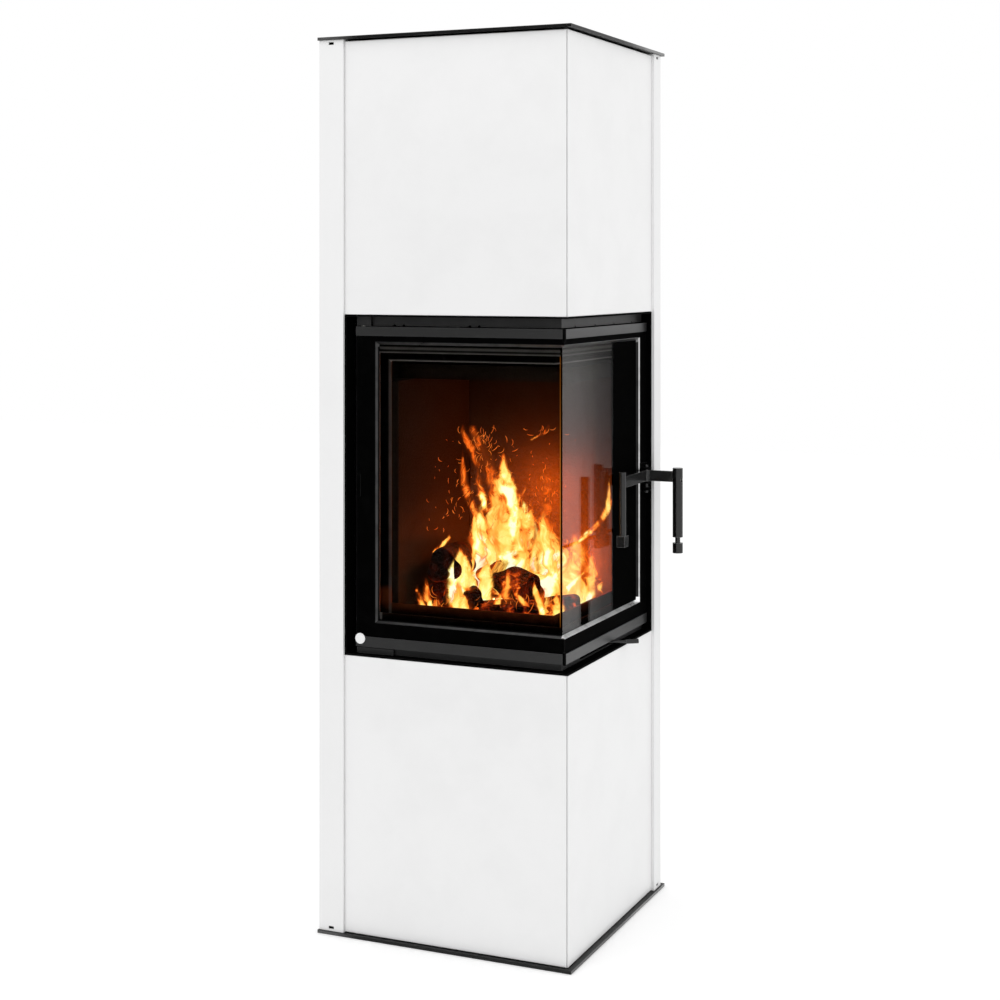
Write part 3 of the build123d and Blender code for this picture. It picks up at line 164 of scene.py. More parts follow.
class Value:
    """A shader socket in an expression: + - * / and ** between values and numbers add Math nodes."""

    def __init__(self, finish, socket):
        self.finish = finish
        self.socket = socket

    def math(self, operation, first, second=0.0):
        """One Math node."""
        return self.finish.node("ShaderNodeMath", {"operation": operation}, {0: first, 1: second})

    def __add__(self, other):
        return self.math("ADD", self, other)

    def __radd__(self, other):
        return self.math("ADD", other, self)

    def __sub__(self, other):
        return self.math("SUBTRACT", self, other)

    def __rsub__(self, other):
        return self.math("SUBTRACT", other, self)

    def __mul__(self, other):
        return self.math("MULTIPLY", self, other)

    def __rmul__(self, other):
        return self.math("MULTIPLY", other, self)

    def __truediv__(self, other):
        return self.math("DIVIDE", self, other)

    def __pow__(self, other):
        return self.math("POWER", self, other)

    def __abs__(self):
        return self.math("ABSOLUTE", self)

    def rise(self, low, high):
        """Smoothly 0 below low and 1 above high."""
        return self.finish.node(
            "ShaderNodeMapRange",
            {"interpolation_type": "SMOOTHSTEP"},
            {"Value": self, "From Min": low, "From Max": high},
        )

    def fall(self, low, high):
        """Smoothly 1 below low and 0 above high."""
        return 1.0 - self.rise(low, high)

    def sine(self):
        """The sine of the value in radians."""
        return self.math("SINE", self)


class Finish:
    """A node material that is being built. Every node comes from node()."""

    def __init__(self, name, owner=None):
        self.material = owner or bpy.data.materials.new(name)
        self.material.use_nodes = True
        self.material.node_tree.nodes.clear()

    def node(self, kind, settings=None, sockets=None, output=0):
        """Adds a node of that type. Its settings, a ramp's given as stops of (place, colour), come before its
        sockets."""
        tree = self.material.node_tree
        made = tree.nodes.new(kind)
        for name, setting in (settings or {}).items():
            if name == "stops":
                ramp = made.color_ramp.elements
                while len(ramp) < len(setting):
                    ramp.new(1.0)
                for stop, (place, colour) in zip(ramp, setting):
                    stop.position = place
                    stop.color = (*colour, 1.0)
            else:
                setattr(made, name, setting)
        for name, value in (sockets or {}).items():
            if isinstance(value, Value):
                tree.links.new(value.socket, made.inputs[name])
            else:
                made.inputs[name].default_value = value
        return Value(self, made.outputs[output])

    def place(self, stretch=(1.0, 1.0, 1.0)):
        """The piece's own coordinates in metres, stretched along their axes."""
        return self.stretched(self.node("ShaderNodeTexCoord", output="Object"), stretch)

    def axis(self, name, at=None):
        """One of X, Y or Z of the own coordinates, or of another vector."""
        return self.node("ShaderNodeSeparateXYZ", None, {0: at or self.place()}, name)

    def carried(self, name, output="Fac"):
        """An attribute that the piece's mesh carries."""
        return self.node("ShaderNodeAttribute", {"attribute_name": name}, None, output)

    def noise(self, size, detail=3.0, rough=0.5, warp=0.0, stretch=(1.0, 1.0, 1.0), at=None):
        """Noise of 0 to 1 whose features are about size metres."""
        return self.node("ShaderNodeTexNoise", None, {
            "Vector": at or self.place(stretch), "Scale": 1 / size,
            "Detail": detail, "Roughness": rough, "Distortion": warp,
        })

    def cells(self, size, feature="F1", output="Distance", at=None):
        """Voronoi cells about size metres across."""
        sockets = {"Vector": at or self.place(), "Scale": 1 / size}
        return self.node("ShaderNodeTexVoronoi", {"feature": feature}, sockets, output)

    def stirred(self, size, reach, at=None):
        """Coordinates that noise of that size pushes about, by up to reach metres."""
        at = at or self.place()
        push = self.node("ShaderNodeTexNoise", None, {"Vector": at, "Scale": 1 / size, "Detail": 1.0}, "Color")
        return self.node("ShaderNodeVectorMath", {"operation": "MULTIPLY_ADD"}, {0: push, 1: (2 * reach,) * 3, 2: at})

    def stretched(self, at, stretch):
        """Coordinates stretched along their axes."""
        return self.node("ShaderNodeMapping", None, {"Vector": at, "Scale": stretch})

    def edge(self, radius, low=0.02, high=0.3):
        """How near a sharp edge is: 0 on the flat and 1 on the edge."""
        rounded = self.node("ShaderNodeBevel", {"samples": 4}, {"Radius": radius})
        flat = self.node("ShaderNodeNewGeometry", output="True Normal")
        same = self.node("ShaderNodeVectorMath", {"operation": "DOT_PRODUCT"}, {0: rounded, 1: flat}, "Value")
        return (1.0 - same).rise(low, high)

    def blend(self, first, second, share):
        """A colour from first at share 0 to second at share 1."""
        first = first if isinstance(first, Value) else (*first, 1.0)
        second = second if isinstance(second, Value) else (*second, 1.0)
        return self.node("ShaderNodeMix", {"data_type": "RGBA"}, {0: share, 6: first, 7: second}, 2)

    def ramp(self, share, *stops):
        """A colour ramp over share."""
        return self.node("ShaderNodeValToRGB", {"stops": stops}, {0: share})

    def bump(self, height, depth, over=None):
        """A normal raised by height times depth in metres."""
        sockets = {"Height": height, "Distance": depth, "Strength": 1.0}
        if over is not None:
            sockets["Normal"] = over
        return self.node("ShaderNodeBump", None, sockets)

    def surface(self, **sockets):
        """A Principled shader; an underscore in a name stands for a space."""
        values = {}
        for name, value in sockets.items():
            plain = isinstance(value, Value) or not isinstance(value, tuple) or len(value) != 3
            values[name.replace("_", " ")] = value if plain else (*value, 1.0)
        return self.node("ShaderNodeBsdfPrincipled", None, values)

    def seen(self):
        """1 to the camera, to gloss and through glass, and 0 to the light that falls on things."""
        rays = ("Is Camera Ray", "Is Glossy Ray", "Is Transmission Ray")
        camera, gloss, glass = (self.node("ShaderNodeLightPath", output=ray) for ray in rays)
        return (camera + gloss + glass).rise(0.0, 1.0)

    def complete(self, **sockets):
        """The material of one Principled shader."""
        return self.finished(self.surface(**sockets))

    def finished(self, shader, output="ShaderNodeOutputMaterial"):
        """Links the shader to the output and gives the material."""
        end = self.material.node_tree.nodes.new(output)
        self.material.node_tree.links.new(shader.socket, end.inputs["Surface"])
        return self.material


def darker(colour, share):
    """The colour times share."""
    return tuple(share * level for level in colour)


def even(level):
    """A grey of that linear level."""
    return (level,) * 3


# ---------------------------------------------------------------- finishes

# Levels (z) of the base plate's top, the top plate's underside and its top, and the plates' glazed side (x).
BASE_TOP, LID_UNDER, LID_TOP, PLATE_SIDE = 0.005, 1.505, 1.510, 0.230
# Each painted highlight along a lip of frame_black: its left (x), its top (z), its half-width, its grey level on the
# left and on top.
RETAINER_LIP_HIGHLIGHTS = ((-0.1246, 0.9790, 0.0040, 88, 75), (-0.1310, 0.9870, 0.0036, 0, 67))
FACE_LIP_HIGHLIGHTS = ((-0.1160, 0.9640, 0.0044, 60, 105),)


def glazed_tile(colour):
    """White glazed tile: faint clouding, fine orange peel and a slow waviness under a glossy glaze."""
    f = Finish("glazed_tile")
    cloud = f.noise(0.11, 4.0, 0.6)
    speck = f.noise(0.0016, 2.0, 0.5)
    base = f.blend(darker(colour, 0.975), colour, cloud.rise(0.3, 0.62))
    base = f.blend(base, darker(colour, 0.9), speck.rise(0.72, 0.8) * 0.25)
    rough = 0.3 + 0.1 * f.noise(0.05, 3.0)
    waves = f.bump(f.noise(0.09, 1.0), 0.0005)
    peel = f.bump(f.noise(0.0035, 2.0), 0.00004, waves)
    return f.complete(
        Base_Color=base, Roughness=rough, Normal=peel, Specular_IOR_Level=0.35,
        Coat_Weight=0.25, Coat_Roughness=0.12,
    )


def white_coat(colour):
    """White powder coat on sheet: tight orange peel and light handling marks."""
    f = Finish("white_coat")
    cloud = f.noise(0.2, 3.0)
    marks = f.noise(0.03, 6.0, 0.65, 0.6, (1.0, 1.0, 0.3))
    base = f.blend(darker(colour, 0.98), colour, cloud.rise(0.25, 0.6))
    rough = 0.38 + 0.14 * marks
    peel = f.bump(f.noise(0.0018, 2.0), 0.00004)
    return f.complete(Base_Color=base, Roughness=rough, Normal=peel, Specular_IOR_Level=0.35)


def plate_steel(colour):
    """Burnished steel of the plates: fine grinding lines and oil film in clouds. The faces that turn to the tiles are
    painted near black as shade. The edges carry a painted reflection: dark along the fronts, lighter towards the left
    end, and on the glazed side dark by the front and light towards the rear, most of all on the base plate."""
    f = Finish("plate_steel")
    lines = f.noise(0.0008, 3.0, 0.6, 0.0, (0.03, 0.03, 1.0))
    film = f.noise(0.05, 5.0, 0.6)
    across, back, height = f.axis("X"), f.axis("Y"), f.axis("Z")
    low = height.fall(0.5, 0.6)
    # Painted reflection on the edges: dark on the fronts and lighter at the left end; on the glazed side dark by the
    # front and light towards the rear.
    front = f.blend(even(0.016), even(0.028), low)
    front = f.blend(front, even(0.11), across.fall(-0.205, -0.150))
    beside = f.blend(even(0.012), even(0.24), (back.rise(-0.04, 0.20) + low * 0.45).rise(0.0, 1.0))
    edge = f.blend(front, beside, across.rise(PLATE_SIDE - 0.0003, PLATE_SIDE - 0.0001))
    # Painted shade: the base plate's top face and the top plate's underside go near black.
    base_face = height.rise(BASE_TOP - 0.0004, BASE_TOP - 0.0001)
    painted_shade_faces = low * base_face + (1.0 - low) * height.fall(LID_UNDER + 0.0001, LID_UNDER + 0.0004)
    upper = height.rise(LID_TOP - 0.0004, LID_TOP - 0.0001)
    base = f.blend(edge, even(0.002), painted_shade_faces)
    base = f.blend(base, colour, upper)
    base = f.blend(base, BLACK, (film.rise(0.5, 0.75) + lines.rise(0.55, 0.8)) * 0.25)
    return f.complete(
        Base_Color=base, Roughness=0.3 + 0.16 * film, Metallic=1.0, Normal=f.bump(lines, 0.00002),
    )


def frame_black(colour, edge_highlight_level=40, lip_highlights=(), name="frame_black"):
    """Deep black stove paint: dry fine grain, faint mottling and a grey painted highlight along its sharp edges, broken
    up by noise. Each lip is a painted highlight, a soft grey line along the frame's left and top, given as its left,
    its top, its half-width and its grey levels on each. A frame with lips also has painted firelight, a warm brown band
    along its sill."""
    f = Finish(name)
    mottle = f.noise(0.028, 4.0, 0.6)
    grain = f.noise(0.0011, 2.0)
    # Painted highlight: grey along the sharp edges, broken up by noise.
    painted_edge_highlight = f.edge(0.0011, 0.01, 0.16) * f.noise(0.05, 4.0).rise(0.25, 0.45)
    base = f.blend(colour, grey(8), mottle.rise(0.42, 0.75) * 0.5)
    base = f.blend(base, grey(edge_highlight_level), painted_edge_highlight)
    # Painted highlights: a soft grey line along each lip's left and top, with a grey of its own on each.
    for left, top, half, left_level, top_level in lip_highlights:
        beside = left - f.axis("X")
        above = f.axis("Z") - top
        line = abs(above.math("MAXIMUM", above, beside)).fall(half * 0.25, half)
        level = f.blend(grey(left_level), grey(top_level), (above - beside).rise(0.0, 0.001))
        base = f.blend(base, level, line * (0.75 + 0.5 * mottle))
    if lip_highlights:
        # Painted firelight: a warm brown band along the sill, by the fire.
        height = f.axis("Z")
        painted_sill_firelight = height.rise(0.536, 0.566) * height.fall(0.575, 0.590) * (0.5 + 0.7 * mottle)
        base = f.blend(base, linear(104, 52, 24), painted_sill_firelight * 0.55)
    return f.complete(
        Base_Color=base, Roughness=0.5 + 0.16 * mottle, Normal=f.bump(grain, 0.00003), Specular_IOR_Level=0.004,
    )


def sheet_grey(colour):
    """Satin grey-black paint on folded sheet: soft mottling, a fine grain, and a lighter grey painted highlight along
    its edges.
    """
    f = Finish("sheet_grey")
    mottle = f.noise(0.028, 4.0, 0.6)
    grain = f.noise(0.0011, 2.0)
    streak = f.noise(0.004, 4.0, 0.6, 0.0, (1.0, 1.0, 0.08))
    base = f.blend(darker(colour, 0.75), colour, mottle.rise(0.42, 0.75))
    # Painted highlight: lighter grey along the sharp edges.
    base = f.blend(base, grey(78), f.edge(0.001))
    return f.complete(
        Base_Color=base, Roughness=0.34 + 0.12 * mottle + 0.06 * streak, Normal=f.bump(grain, 0.00003),
        Specular_IOR_Level=0.4,
    )


def polished_bezel(colour):
    """Polished dark bezel whose colour carries a painted reflection: near black on its front with lighter painted
    highlights along its top, left and low rims, brighter along the glazed side, and brightest along that side's rear
    and its low edge.
    Fine draw lines run along it and heat haze clouds it."""
    f = Finish("polished_bezel")
    haze = f.noise(0.03, 4.0, 0.6)
    lines = f.noise(0.0008, 3.0, 0.6)
    across, back, height = f.axis("X"), f.axis("Y"), f.axis("Z")
    # The bezel spans x -0.130 to 0.211, y -0.211 to 0.150 and z 0.527 to 0.998, and each mask begins on its slope.
    beside = across.rise(0.2050, 0.2056) * back.rise(-0.2106, -0.2100)
    low = height.fall(0.5298, 0.5308)
    left = across.fall(-0.1274, -0.1262)
    rear = back.rise(0.1476, 0.1482)
    top = height.rise(0.9890, 0.9900)
    # Painted reflection: the front stays near black with lighter lines at its top, left and low rims; the glazed side
    # runs brighter, to the bezel colour at its rear and to white along its low edge.
    front = f.blend(even(0.004), even(0.075), top)
    front = f.blend(front, even(0.06), left)
    front = f.blend(front, even(0.10), low)
    side = f.blend(even(0.02), even(0.20), top)
    side = f.blend(side, colour, rear)
    side = f.blend(side, WHITE, height.fall(0.5362, 0.5372))
    base = f.blend(front, side, beside)
    base = f.blend(BLACK, base, 0.7 + 0.6 * haze.rise(0.3, 0.75))
    return f.complete(
        Base_Color=base, Roughness=0.24 + 0.1 * haze, Metallic=1.0, Normal=f.bump(lines, 0.00001),
    )


def bar_lacquer(colour):
    """Smooth black lacquer on the drawn trim bars: fine draw lines, light wear and a grey painted highlight along its
    edges.
    """
    f = Finish("bar_lacquer")
    lines = f.noise(0.0007, 3.0, 0.6, 0.0, (0.02, 0.02, 1.0))
    wear = f.noise(0.02, 5.0, 0.65)
    base = f.blend(colour, linear(54, 53, 52), wear.rise(0.58, 0.8) * 0.4)
    # Painted highlight: grey along the sharp edges.
    base = f.blend(base, grey(78), f.edge(0.0009))
    rough = 0.26 + 0.08 * lines + 0.06 * wear
    return f.complete(
        Base_Color=base, Roughness=rough, Normal=f.bump(lines, 0.00001), Specular_IOR_Level=0.55,
    )


def handle_lacquer(colour):
    """Glossy black lacquer of the handle: faint finger haze and a bright painted highlight along its edges."""
    f = Finish("handle_lacquer")
    haze = f.noise(0.02, 4.0, 0.6)
    ripple = f.noise(0.006, 2.0)
    base = f.blend(colour, linear(34, 33, 32), haze.rise(0.55, 0.8) * 0.4)
    # Painted highlight: light grey along the sharp edges.
    base = f.blend(base, linear(150, 149, 147), f.edge(0.0010))
    rough = 0.16 + 0.08 * haze
    return f.complete(
        Base_Color=base, Roughness=rough, Normal=f.bump(ripple, 0.00001), Specular_IOR_Level=0.5,
    )


def galvanised_sheet(colour):
    """Galvanised steel: zinc spangle of irregular flakes, each with its own grey and gloss."""
    f = Finish("galvanised_sheet")
    flake = f.axis("X", f.cells(0.011, output="Color"))
    drift = f.noise(0.08, 3.0)
    base = f.blend(darker(colour, 0.72), colour, flake * 0.7 + drift * 0.3)
    rough = 0.36 + 0.2 * flake
    edges = f.cells(0.011, "DISTANCE_TO_EDGE")
    return f.complete(
        Base_Color=base, Roughness=rough, Metallic=0.85, Normal=f.bump(edges.rise(0.0, 0.06), 0.00001),
    )


def zinc_plate(colour):
    """Bright zinc on screws and pins: turned rings' fine scratches and a yellowish bloom."""
    f = Finish("zinc_plate")
    scratch = f.noise(0.0006, 4.0, 0.6, 0.0, (1.0, 0.2, 1.0))
    bloom = f.noise(0.006, 3.0)
    base = f.blend(colour, linear(166, 158, 132), bloom.rise(0.45, 0.75) * 0.5)
    return f.complete(
        Base_Color=base, Roughness=0.26 + 0.2 * scratch, Metallic=1.0, Normal=f.bump(scratch, 0.00001),
    )


def matt_stove_paint(colour):
    """Matt high-heat paint: dry grain, soot clouds, a brown heat bloom near the fire and a grey painted highlight along
    its edges where the soot is thin.
    """
    f = Finish("matt_stove_paint")
    soot = f.noise(0.045, 5.0, 0.65)
    grain = f.noise(0.0009, 3.0)
    height = f.axis("Z")
    bloom = height.rise(0.45, 0.55) * height.fall(0.62, 0.9) * soot.rise(0.35, 0.7)
    base = f.blend(colour, grey(8), soot.rise(0.45, 0.7) * 0.6)
    base = f.blend(base, linear(32, 24, 19), bloom * 0.35)
    # Painted highlight: grey along the sharp edges, fading where soot gathers.
    base = f.blend(base, linear(44, 43, 42), f.edge(0.0022) * soot.fall(0.5, 0.75))
    return f.complete(
        Base_Color=base, Roughness=0.68 + 0.16 * soot, Normal=f.bump(grain, 0.00006), Specular_IOR_Level=0.08,
    )


def vermiculite(colour):
    """Pressed vermiculite board: packed mica flakes and pits, a dark brown that grows upwards with clouds of soot,
    painted shade on the left wall, and ash low down."""
    f = Finish("vermiculite")
    flake = f.axis("X", f.cells(0.0035, output="Color"))
    chip = f.cells(0.0035)
    cloud = f.noise(0.07, 5.0, 0.6, 0.4)
    height = f.axis("Z")
    base = f.blend(darker(colour, 0.7), colour, flake)
    # Painted shade on the left wall; the soot mask also darkens the boards upwards.
    beside = f.axis("X").fall(-0.110, -0.102)
    soot = height.rise(0.60, 0.93) * 0.95 + cloud.rise(0.5, 0.8) * 0.12 + beside * 0.9
    base = f.blend(base, linear(24, 17, 12), soot.rise(0.0, 1.0))
    base = f.blend(base, linear(96, 88, 80), height.fall(0.515, 0.56) * cloud.rise(0.3, 0.6) * 0.5)
    pits = f.bump(chip, 0.0007)
    return f.complete(
        Base_Color=base, Roughness=0.86 + 0.1 * flake, Normal=f.bump(cloud, 0.001, pits), Specular_IOR_Level=0.08,
    )


def glass_rope(colour):
    """Woven glass rope as slanted ridges of two crossing strands; the clear bead in the corner glows with painted
    firelight.
    """
    f = Finish("glass_rope")
    x, y, along = f.axis("X"), f.axis("Y"), f.axis("Z")
    one = ((x + y + along) * 2400.0).sine()
    two = ((x + y - along) * 2400.0).sine()
    weave = one * two * 0.5 + 0.5
    fuzz = f.noise(0.0012, 4.0, 0.7)
    base = f.blend(darker(colour, 0.35), colour, weave * 0.8 + fuzz * 0.2)
    # Painted firelight: the corner bead emits an amber glow, strongest low down.
    bead = x.rise(0.19, 0.191) * y.fall(-0.191, -0.19) * along.rise(0.53, 0.54) * along.fall(0.985, 0.99)
    heat = along.fall(0.70, 0.96) * 0.8 + 0.2
    glow = f.blend((0.10, 0.02, 0.0), (0.85, 0.30, 0.03), heat * along.rise(0.53, 0.60) * (0.6 + 0.8 * fuzz))
    lit = f.blend(BLACK, glow, bead)
    return f.complete(
        Base_Color=base, Roughness=0.9, Normal=f.bump(weave + fuzz * 0.5, 0.0007), Specular_IOR_Level=0.1,
        Emission_Color=lit, Emission_Strength=0.6,
    )


def cast_iron(colour):
    """Sand-cast iron: gritty skin, rust in the low grain, ash dust and a dull heat glow in patches."""
    f = Finish("cast_iron")
    grit = f.noise(0.0018, 5.0, 0.7)
    patch = f.noise(0.02, 4.0, 0.6)
    base = f.blend(colour, linear(92, 60, 44), patch.rise(0.5, 0.8) * 0.5)
    base = f.blend(base, linear(140, 132, 124), grit.rise(0.62, 0.8) * 0.35)
    return f.complete(
        Base_Color=base, Roughness=0.7 + 0.2 * grit, Metallic=0.25, Normal=f.bump(grit, 0.0006),
    )


def badge_disc():
    """Plain white enamel of the small blank disc on the door: faint dust and a slightly raised rim."""
    f = Finish("badge_enamel")
    dust = f.noise(0.002, 4.0, 0.6)
    base = f.blend(grey(246), grey(226), dust.rise(0.5, 0.8) * 0.4)
    return f.complete(Base_Color=base, Roughness=0.3 + 0.1 * dust, Normal=f.bump(dust, 0.00002))


def ceramic_glass(printed):
    """Clear ceramic glass with a faint warm tint and a film of fly ash; printed adds the matt black rear border."""
    f = Finish("ceramic_glass_printed" if printed else "ceramic_glass")
    film = f.noise(0.035, 5.0, 0.6, 0.3)
    tint = f.blend(linear(250, 247, 243), linear(242, 237, 231), film.rise(0.45, 0.75))
    glass = f.surface(
        Base_Color=tint, Roughness=0.0, Transmission_Weight=1.0, IOR=1.2,
        Normal=f.bump(f.noise(0.12, 1.0), 0.00002),
    )
    if not printed:
        return f.finished(glass)
    speck = f.noise(0.0014, 2.0)
    enamel = f.surface(
        Base_Color=f.blend(grey(1), grey(7), speck.rise(0.5, 0.8)),
        Roughness=0.8 + 0.1 * speck, Specular_IOR_Level=0.008, Normal=f.bump(speck, 0.00002),
    )
    border = f.axis("Y").rise(0.0278, 0.0286)
    return f.finished(f.node("ShaderNodeMixShader", None, {0: border, 1: glass, 2: enamel}))


def charred_wood(colour, ember):
    """A burning billet: fibrous bark over char, faint rings on the blackened cut ends, and red heat in patches."""
    f = Finish("charred_wood")
    grain = f.carried("grain", "Vector")
    cut = f.carried("cut")
    heart = f.carried("heart")
    glow = f.carried("glow")
    fibre = f.noise(0.0045, 5.0, 0.65, 0.5, at=f.stretched(grain, (1.0, 1.0, 0.10)))
    plates = f.cells(0.009, "DISTANCE_TO_EDGE", at=f.stretched(f.stirred(0.01, 0.003, grain), (1.0, 1.0, 0.45)))
    crack = plates.fall(0.01, 0.07)
    rings = (heart * 60.0 + f.noise(0.02, 2.0, at=grain) * 6.0).sine() * 0.5 + 0.5
    bark = f.blend(darker(colour, 0.3), colour, fibre.rise(0.3, 0.7))
    bark = f.blend(bark, linear(70, 46, 34), fibre.rise(0.62, 0.8) * 0.4)
    end = f.blend(linear(16, 10, 9), linear(34, 21, 16), rings * (1.0 - heart * 0.5))
    base = f.blend(bark, end, cut)
    base = f.blend(base, linear(5, 4, 4), crack * (1.0 - cut) * 0.8)
    heat = f.noise(0.020, 4.0, 0.6, at=grain)
    fire = heat.rise(0.44, 0.66) * (0.35 + 0.5 * fibre + 0.35 * crack) * glow * (1.0 - cut * 0.85)
    lit = f.ramp(
        fire, (0.0, BLACK), (0.22, (0.16, 0.010, 0.001)), (0.5, (0.8, 0.10, 0.008)), (0.8, ember),
        (1.0, (1.0, 0.75, 0.3)),
    )
    height = f.bump(fibre, 0.001, f.bump(plates.rise(0.0, 0.12), 0.0012))
    return f.complete(
        Base_Color=base, Roughness=0.8 + 0.12 * fibre, Normal=height, Specular_IOR_Level=0.15,
        Emission_Color=lit, Emission_Strength=1.1,
    )


def live_embers(ash, ember):
    """Embers: grey ash skin over coals that glow from red to yellow, each by its own heat."""
    f = Finish("live_embers")
    glow = f.carried("glow")
    skin = f.noise(0.005, 5.0, 0.65, 0.3)
    heat = (glow + (skin - 0.5) * 1.4)
    base = f.blend(darker(ash, 0.5), (0.008, 0.006, 0.005), heat.rise(0.2, 0.6))
    lit = f.ramp(heat, (0.25, BLACK), (0.5, (0.5, 0.04, 0.0)), (0.75, ember), (1.0, (1.0, 0.8, 0.35)))
    return f.complete(
        Base_Color=base, Roughness=0.85 + 0.1 * skin, Normal=f.bump(skin, 0.0015),
        Emission_Color=lit, Emission_Strength=2.6,
    )


def ash_bed(ash):
    """Fine grey ash with dark char specks and a red glimmer under its thin places."""
    f = Finish("ash_bed")
    fine = f.noise(0.004, 6.0, 0.7)
    broad = f.noise(0.03, 4.0, 0.6)
    base = f.blend(darker(ash, 0.35), ash, broad.rise(0.35, 0.65))
    base = f.blend(base, linear(20, 18, 17), fine.rise(0.58, 0.7))
    thin = fine * broad.rise(0.42, 0.62)
    lit = f.ramp(thin, (0.35, BLACK), (0.55, (0.7, 0.1, 0.005)), (0.8, (1.0, 0.5, 0.12)))
    return f.complete(
        Base_Color=base, Roughness=0.92, Normal=f.bump(fine, 0.002), Specular_IOR_Level=0.1,
        Emission_Color=lit, Emission_Strength=1.6,
    )


def flame_gas(core, middle, edge, strength):
    """Burning gas on a sheet. The mesh carries how deep each point lies in the flames and how hot it is; stirred noise
    that is stretched upwards frays that body's rim, draws bright threads through it and varies its heat."""
    f = Finish("flame_gas")
    body = f.carried("deep")
    heat = f.carried("warmth")
    stir = f.stirred(0.020, 0.009, f.stirred(0.055, 0.026))
    flow = f.stretched(stir, (1.0, 1.0, 0.34))
    broad = f.noise(0.026, 1.5, 0.45, at=flow)
    fine = f.noise(0.0115, 2.0, 0.5, at=flow)
    ridge = (1.0 - abs(broad * 2.0 - 1.0)) ** 7.0
    hair = (1.0 - abs(fine * 2.0 - 1.0)) ** 8.0
    rim = body + (broad - 0.5) * 1.4 + (fine - 0.5) * 0.6 - (1.0 - heat).rise(0.3, 1.0) * 0.45
    fill = rim.rise(0.02, 0.74)
    halo = body.rise(-0.48, 0.4) * 0.20
    lace = ridge.rise(0.35, 0.95) * rim.rise(-0.25, 0.2)
    wisp = hair.rise(0.45, 0.95) * rim.rise(-0.1, 0.3)
    hot = heat * (0.22 + 0.58 * fill + (fine - 0.5) * 0.6 + (broad - 0.5) * 2.0) + lace * 0.08 + wisp * 0.08
    lit = f.ramp(
        hot, (0.0, darker(edge, 0.35)), (0.24, edge), (0.46, middle), (0.66, (1.0, 0.60, 0.11)), (0.86, core),
        (1.05, (1.0, 0.97, 0.66)),
    )
    alpha = fill * (0.18 + 0.82 * hot.rise(0.15, 0.75)) + lace * 0.45 + wisp * 0.30 + halo
    made = f.complete(
        Base_Color=BLACK, Roughness=1.0, Specular_IOR_Level=0.0, Alpha=alpha.rise(0.0, 1.0),
        Emission_Color=lit, Emission_Strength=strength,
    )
    made.cycles.emission_sampling = "NONE"
    return made


def spark_glow(middle, edge):
    """A spark or a thread of flame: orange at its head, and redder along its tail and where it flickers."""
    f = Finish("spark_glow")
    tail = f.carried("tail")
    flicker = f.noise(0.012, 2.0).rise(0.3, 0.7)
    head = tuple((a + b) / 2 for a, b in zip(middle, edge))
    lit = f.blend(head, darker(edge, 0.6), tail * 0.35 + flicker.rise(0.1, 0.7) * 0.65)
    made = f.complete(
        Base_Color=(0.01, 0.004, 0.0), Roughness=0.9, Emission_Color=lit, Emission_Strength=1.3,
    )
    made.cycles.emission_sampling = "NONE"
    return made


def studio_floor():
    """Pale floor that keeps shadows; the little light it gives to the camera brings its open parts to white."""
    f = Finish("studio_floor")
    fine = f.noise(0.4, 2.0)
    base = f.blend(grey(240), grey(243), fine)
    plain = f.surface(Base_Color=base, Roughness=0.95, Specular_IOR_Level=0.0)
    white = f.node("ShaderNodeEmission", None, {"Color": (*WHITE, 1.0), "Strength": f.seen() * 0.2})
    return f.finished(f.node("ShaderNodeAddShader", None, {0: plain, 1: white}))


def flag_card(name, level, far_level):
    """A matt studio card whose grey runs from one level to another across it, crossed by black window bars."""
    f = Finish(name)
    across, height = f.axis("X"), f.axis("Z")
    share = across.rise(0.442, 0.530) * 0.9 + f.noise(0.01, 2.0) * 0.1
    base = f.blend(even(level), even(far_level), share)
    base = f.blend(base, BLACK, height.rise(0.88, 1.02) * 0.7)
    upright = across.rise(0.4832, 0.4840) * across.fall(0.5002, 0.5010) * height.fall(0.684, 0.688)
    sloped = abs(height + across * 0.39 - 0.7463).fall(0.0030, 0.0042)
    base = f.blend(base, BLACK, (upright + sloped).rise(0.0, 1.0))
    return f.complete(Base_Color=base, Roughness=1.0, Specular_IOR_Level=0.0)


# ---------------------------------------------------------------- meshes


def make_piece(name, points, faces, material, body=None, **carried):
    """A smooth mesh object at the origin from an array of points and a list of faces, riding on a body. What is carried
    becomes its mesh's attributes."""
    mesh = bpy.data.meshes.new(name)
    mesh.from_pydata(points.reshape(-1, 3).tolist(), [], faces)
    for title, values in carried.items():
        flat = np.asarray(values, np.float32)
        kind, field = ("FLOAT_VECTOR", "vector") if flat.shape[-1] == 3 and flat.ndim > 1 else ("FLOAT", "value")
        mesh.attributes.new(title, kind, "POINT").data.foreach_set(field, flat.ravel())
    mesh.polygons.foreach_set("use_smooth", np.full(len(mesh.polygons), True))
    mesh.materials.append(material)
    mesh.update()
    made = bpy.data.objects.new(name, mesh)
    bpy.context.scene.collection.objects.link(made)
    if body:
        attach(made, body)
    return made


def make_fire_piece(name, points, faces, material, **carried):
    """A piece of burning gas: it throws neither shadow nor bounced light."""
    made = make_piece(name, points, faces, material, "grate", **carried)
    made.visible_shadow = False
    made.visible_diffuse = False
    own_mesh(made)


def sheet_faces(rows, columns, first=0, closed=False):
    """Quads of a grid of rows by columns points; closed joins the last column to the first."""
    wide = columns if closed else columns - 1
    i, j = np.meshgrid(np.arange(rows - 1), np.arange(wide), indexing="ij")
    a = first + i * columns + j
    b = first + i * columns + (j + 1) % columns
    return np.stack([a, b, b + columns, a + columns], -1).reshape(-1, 4).tolist()


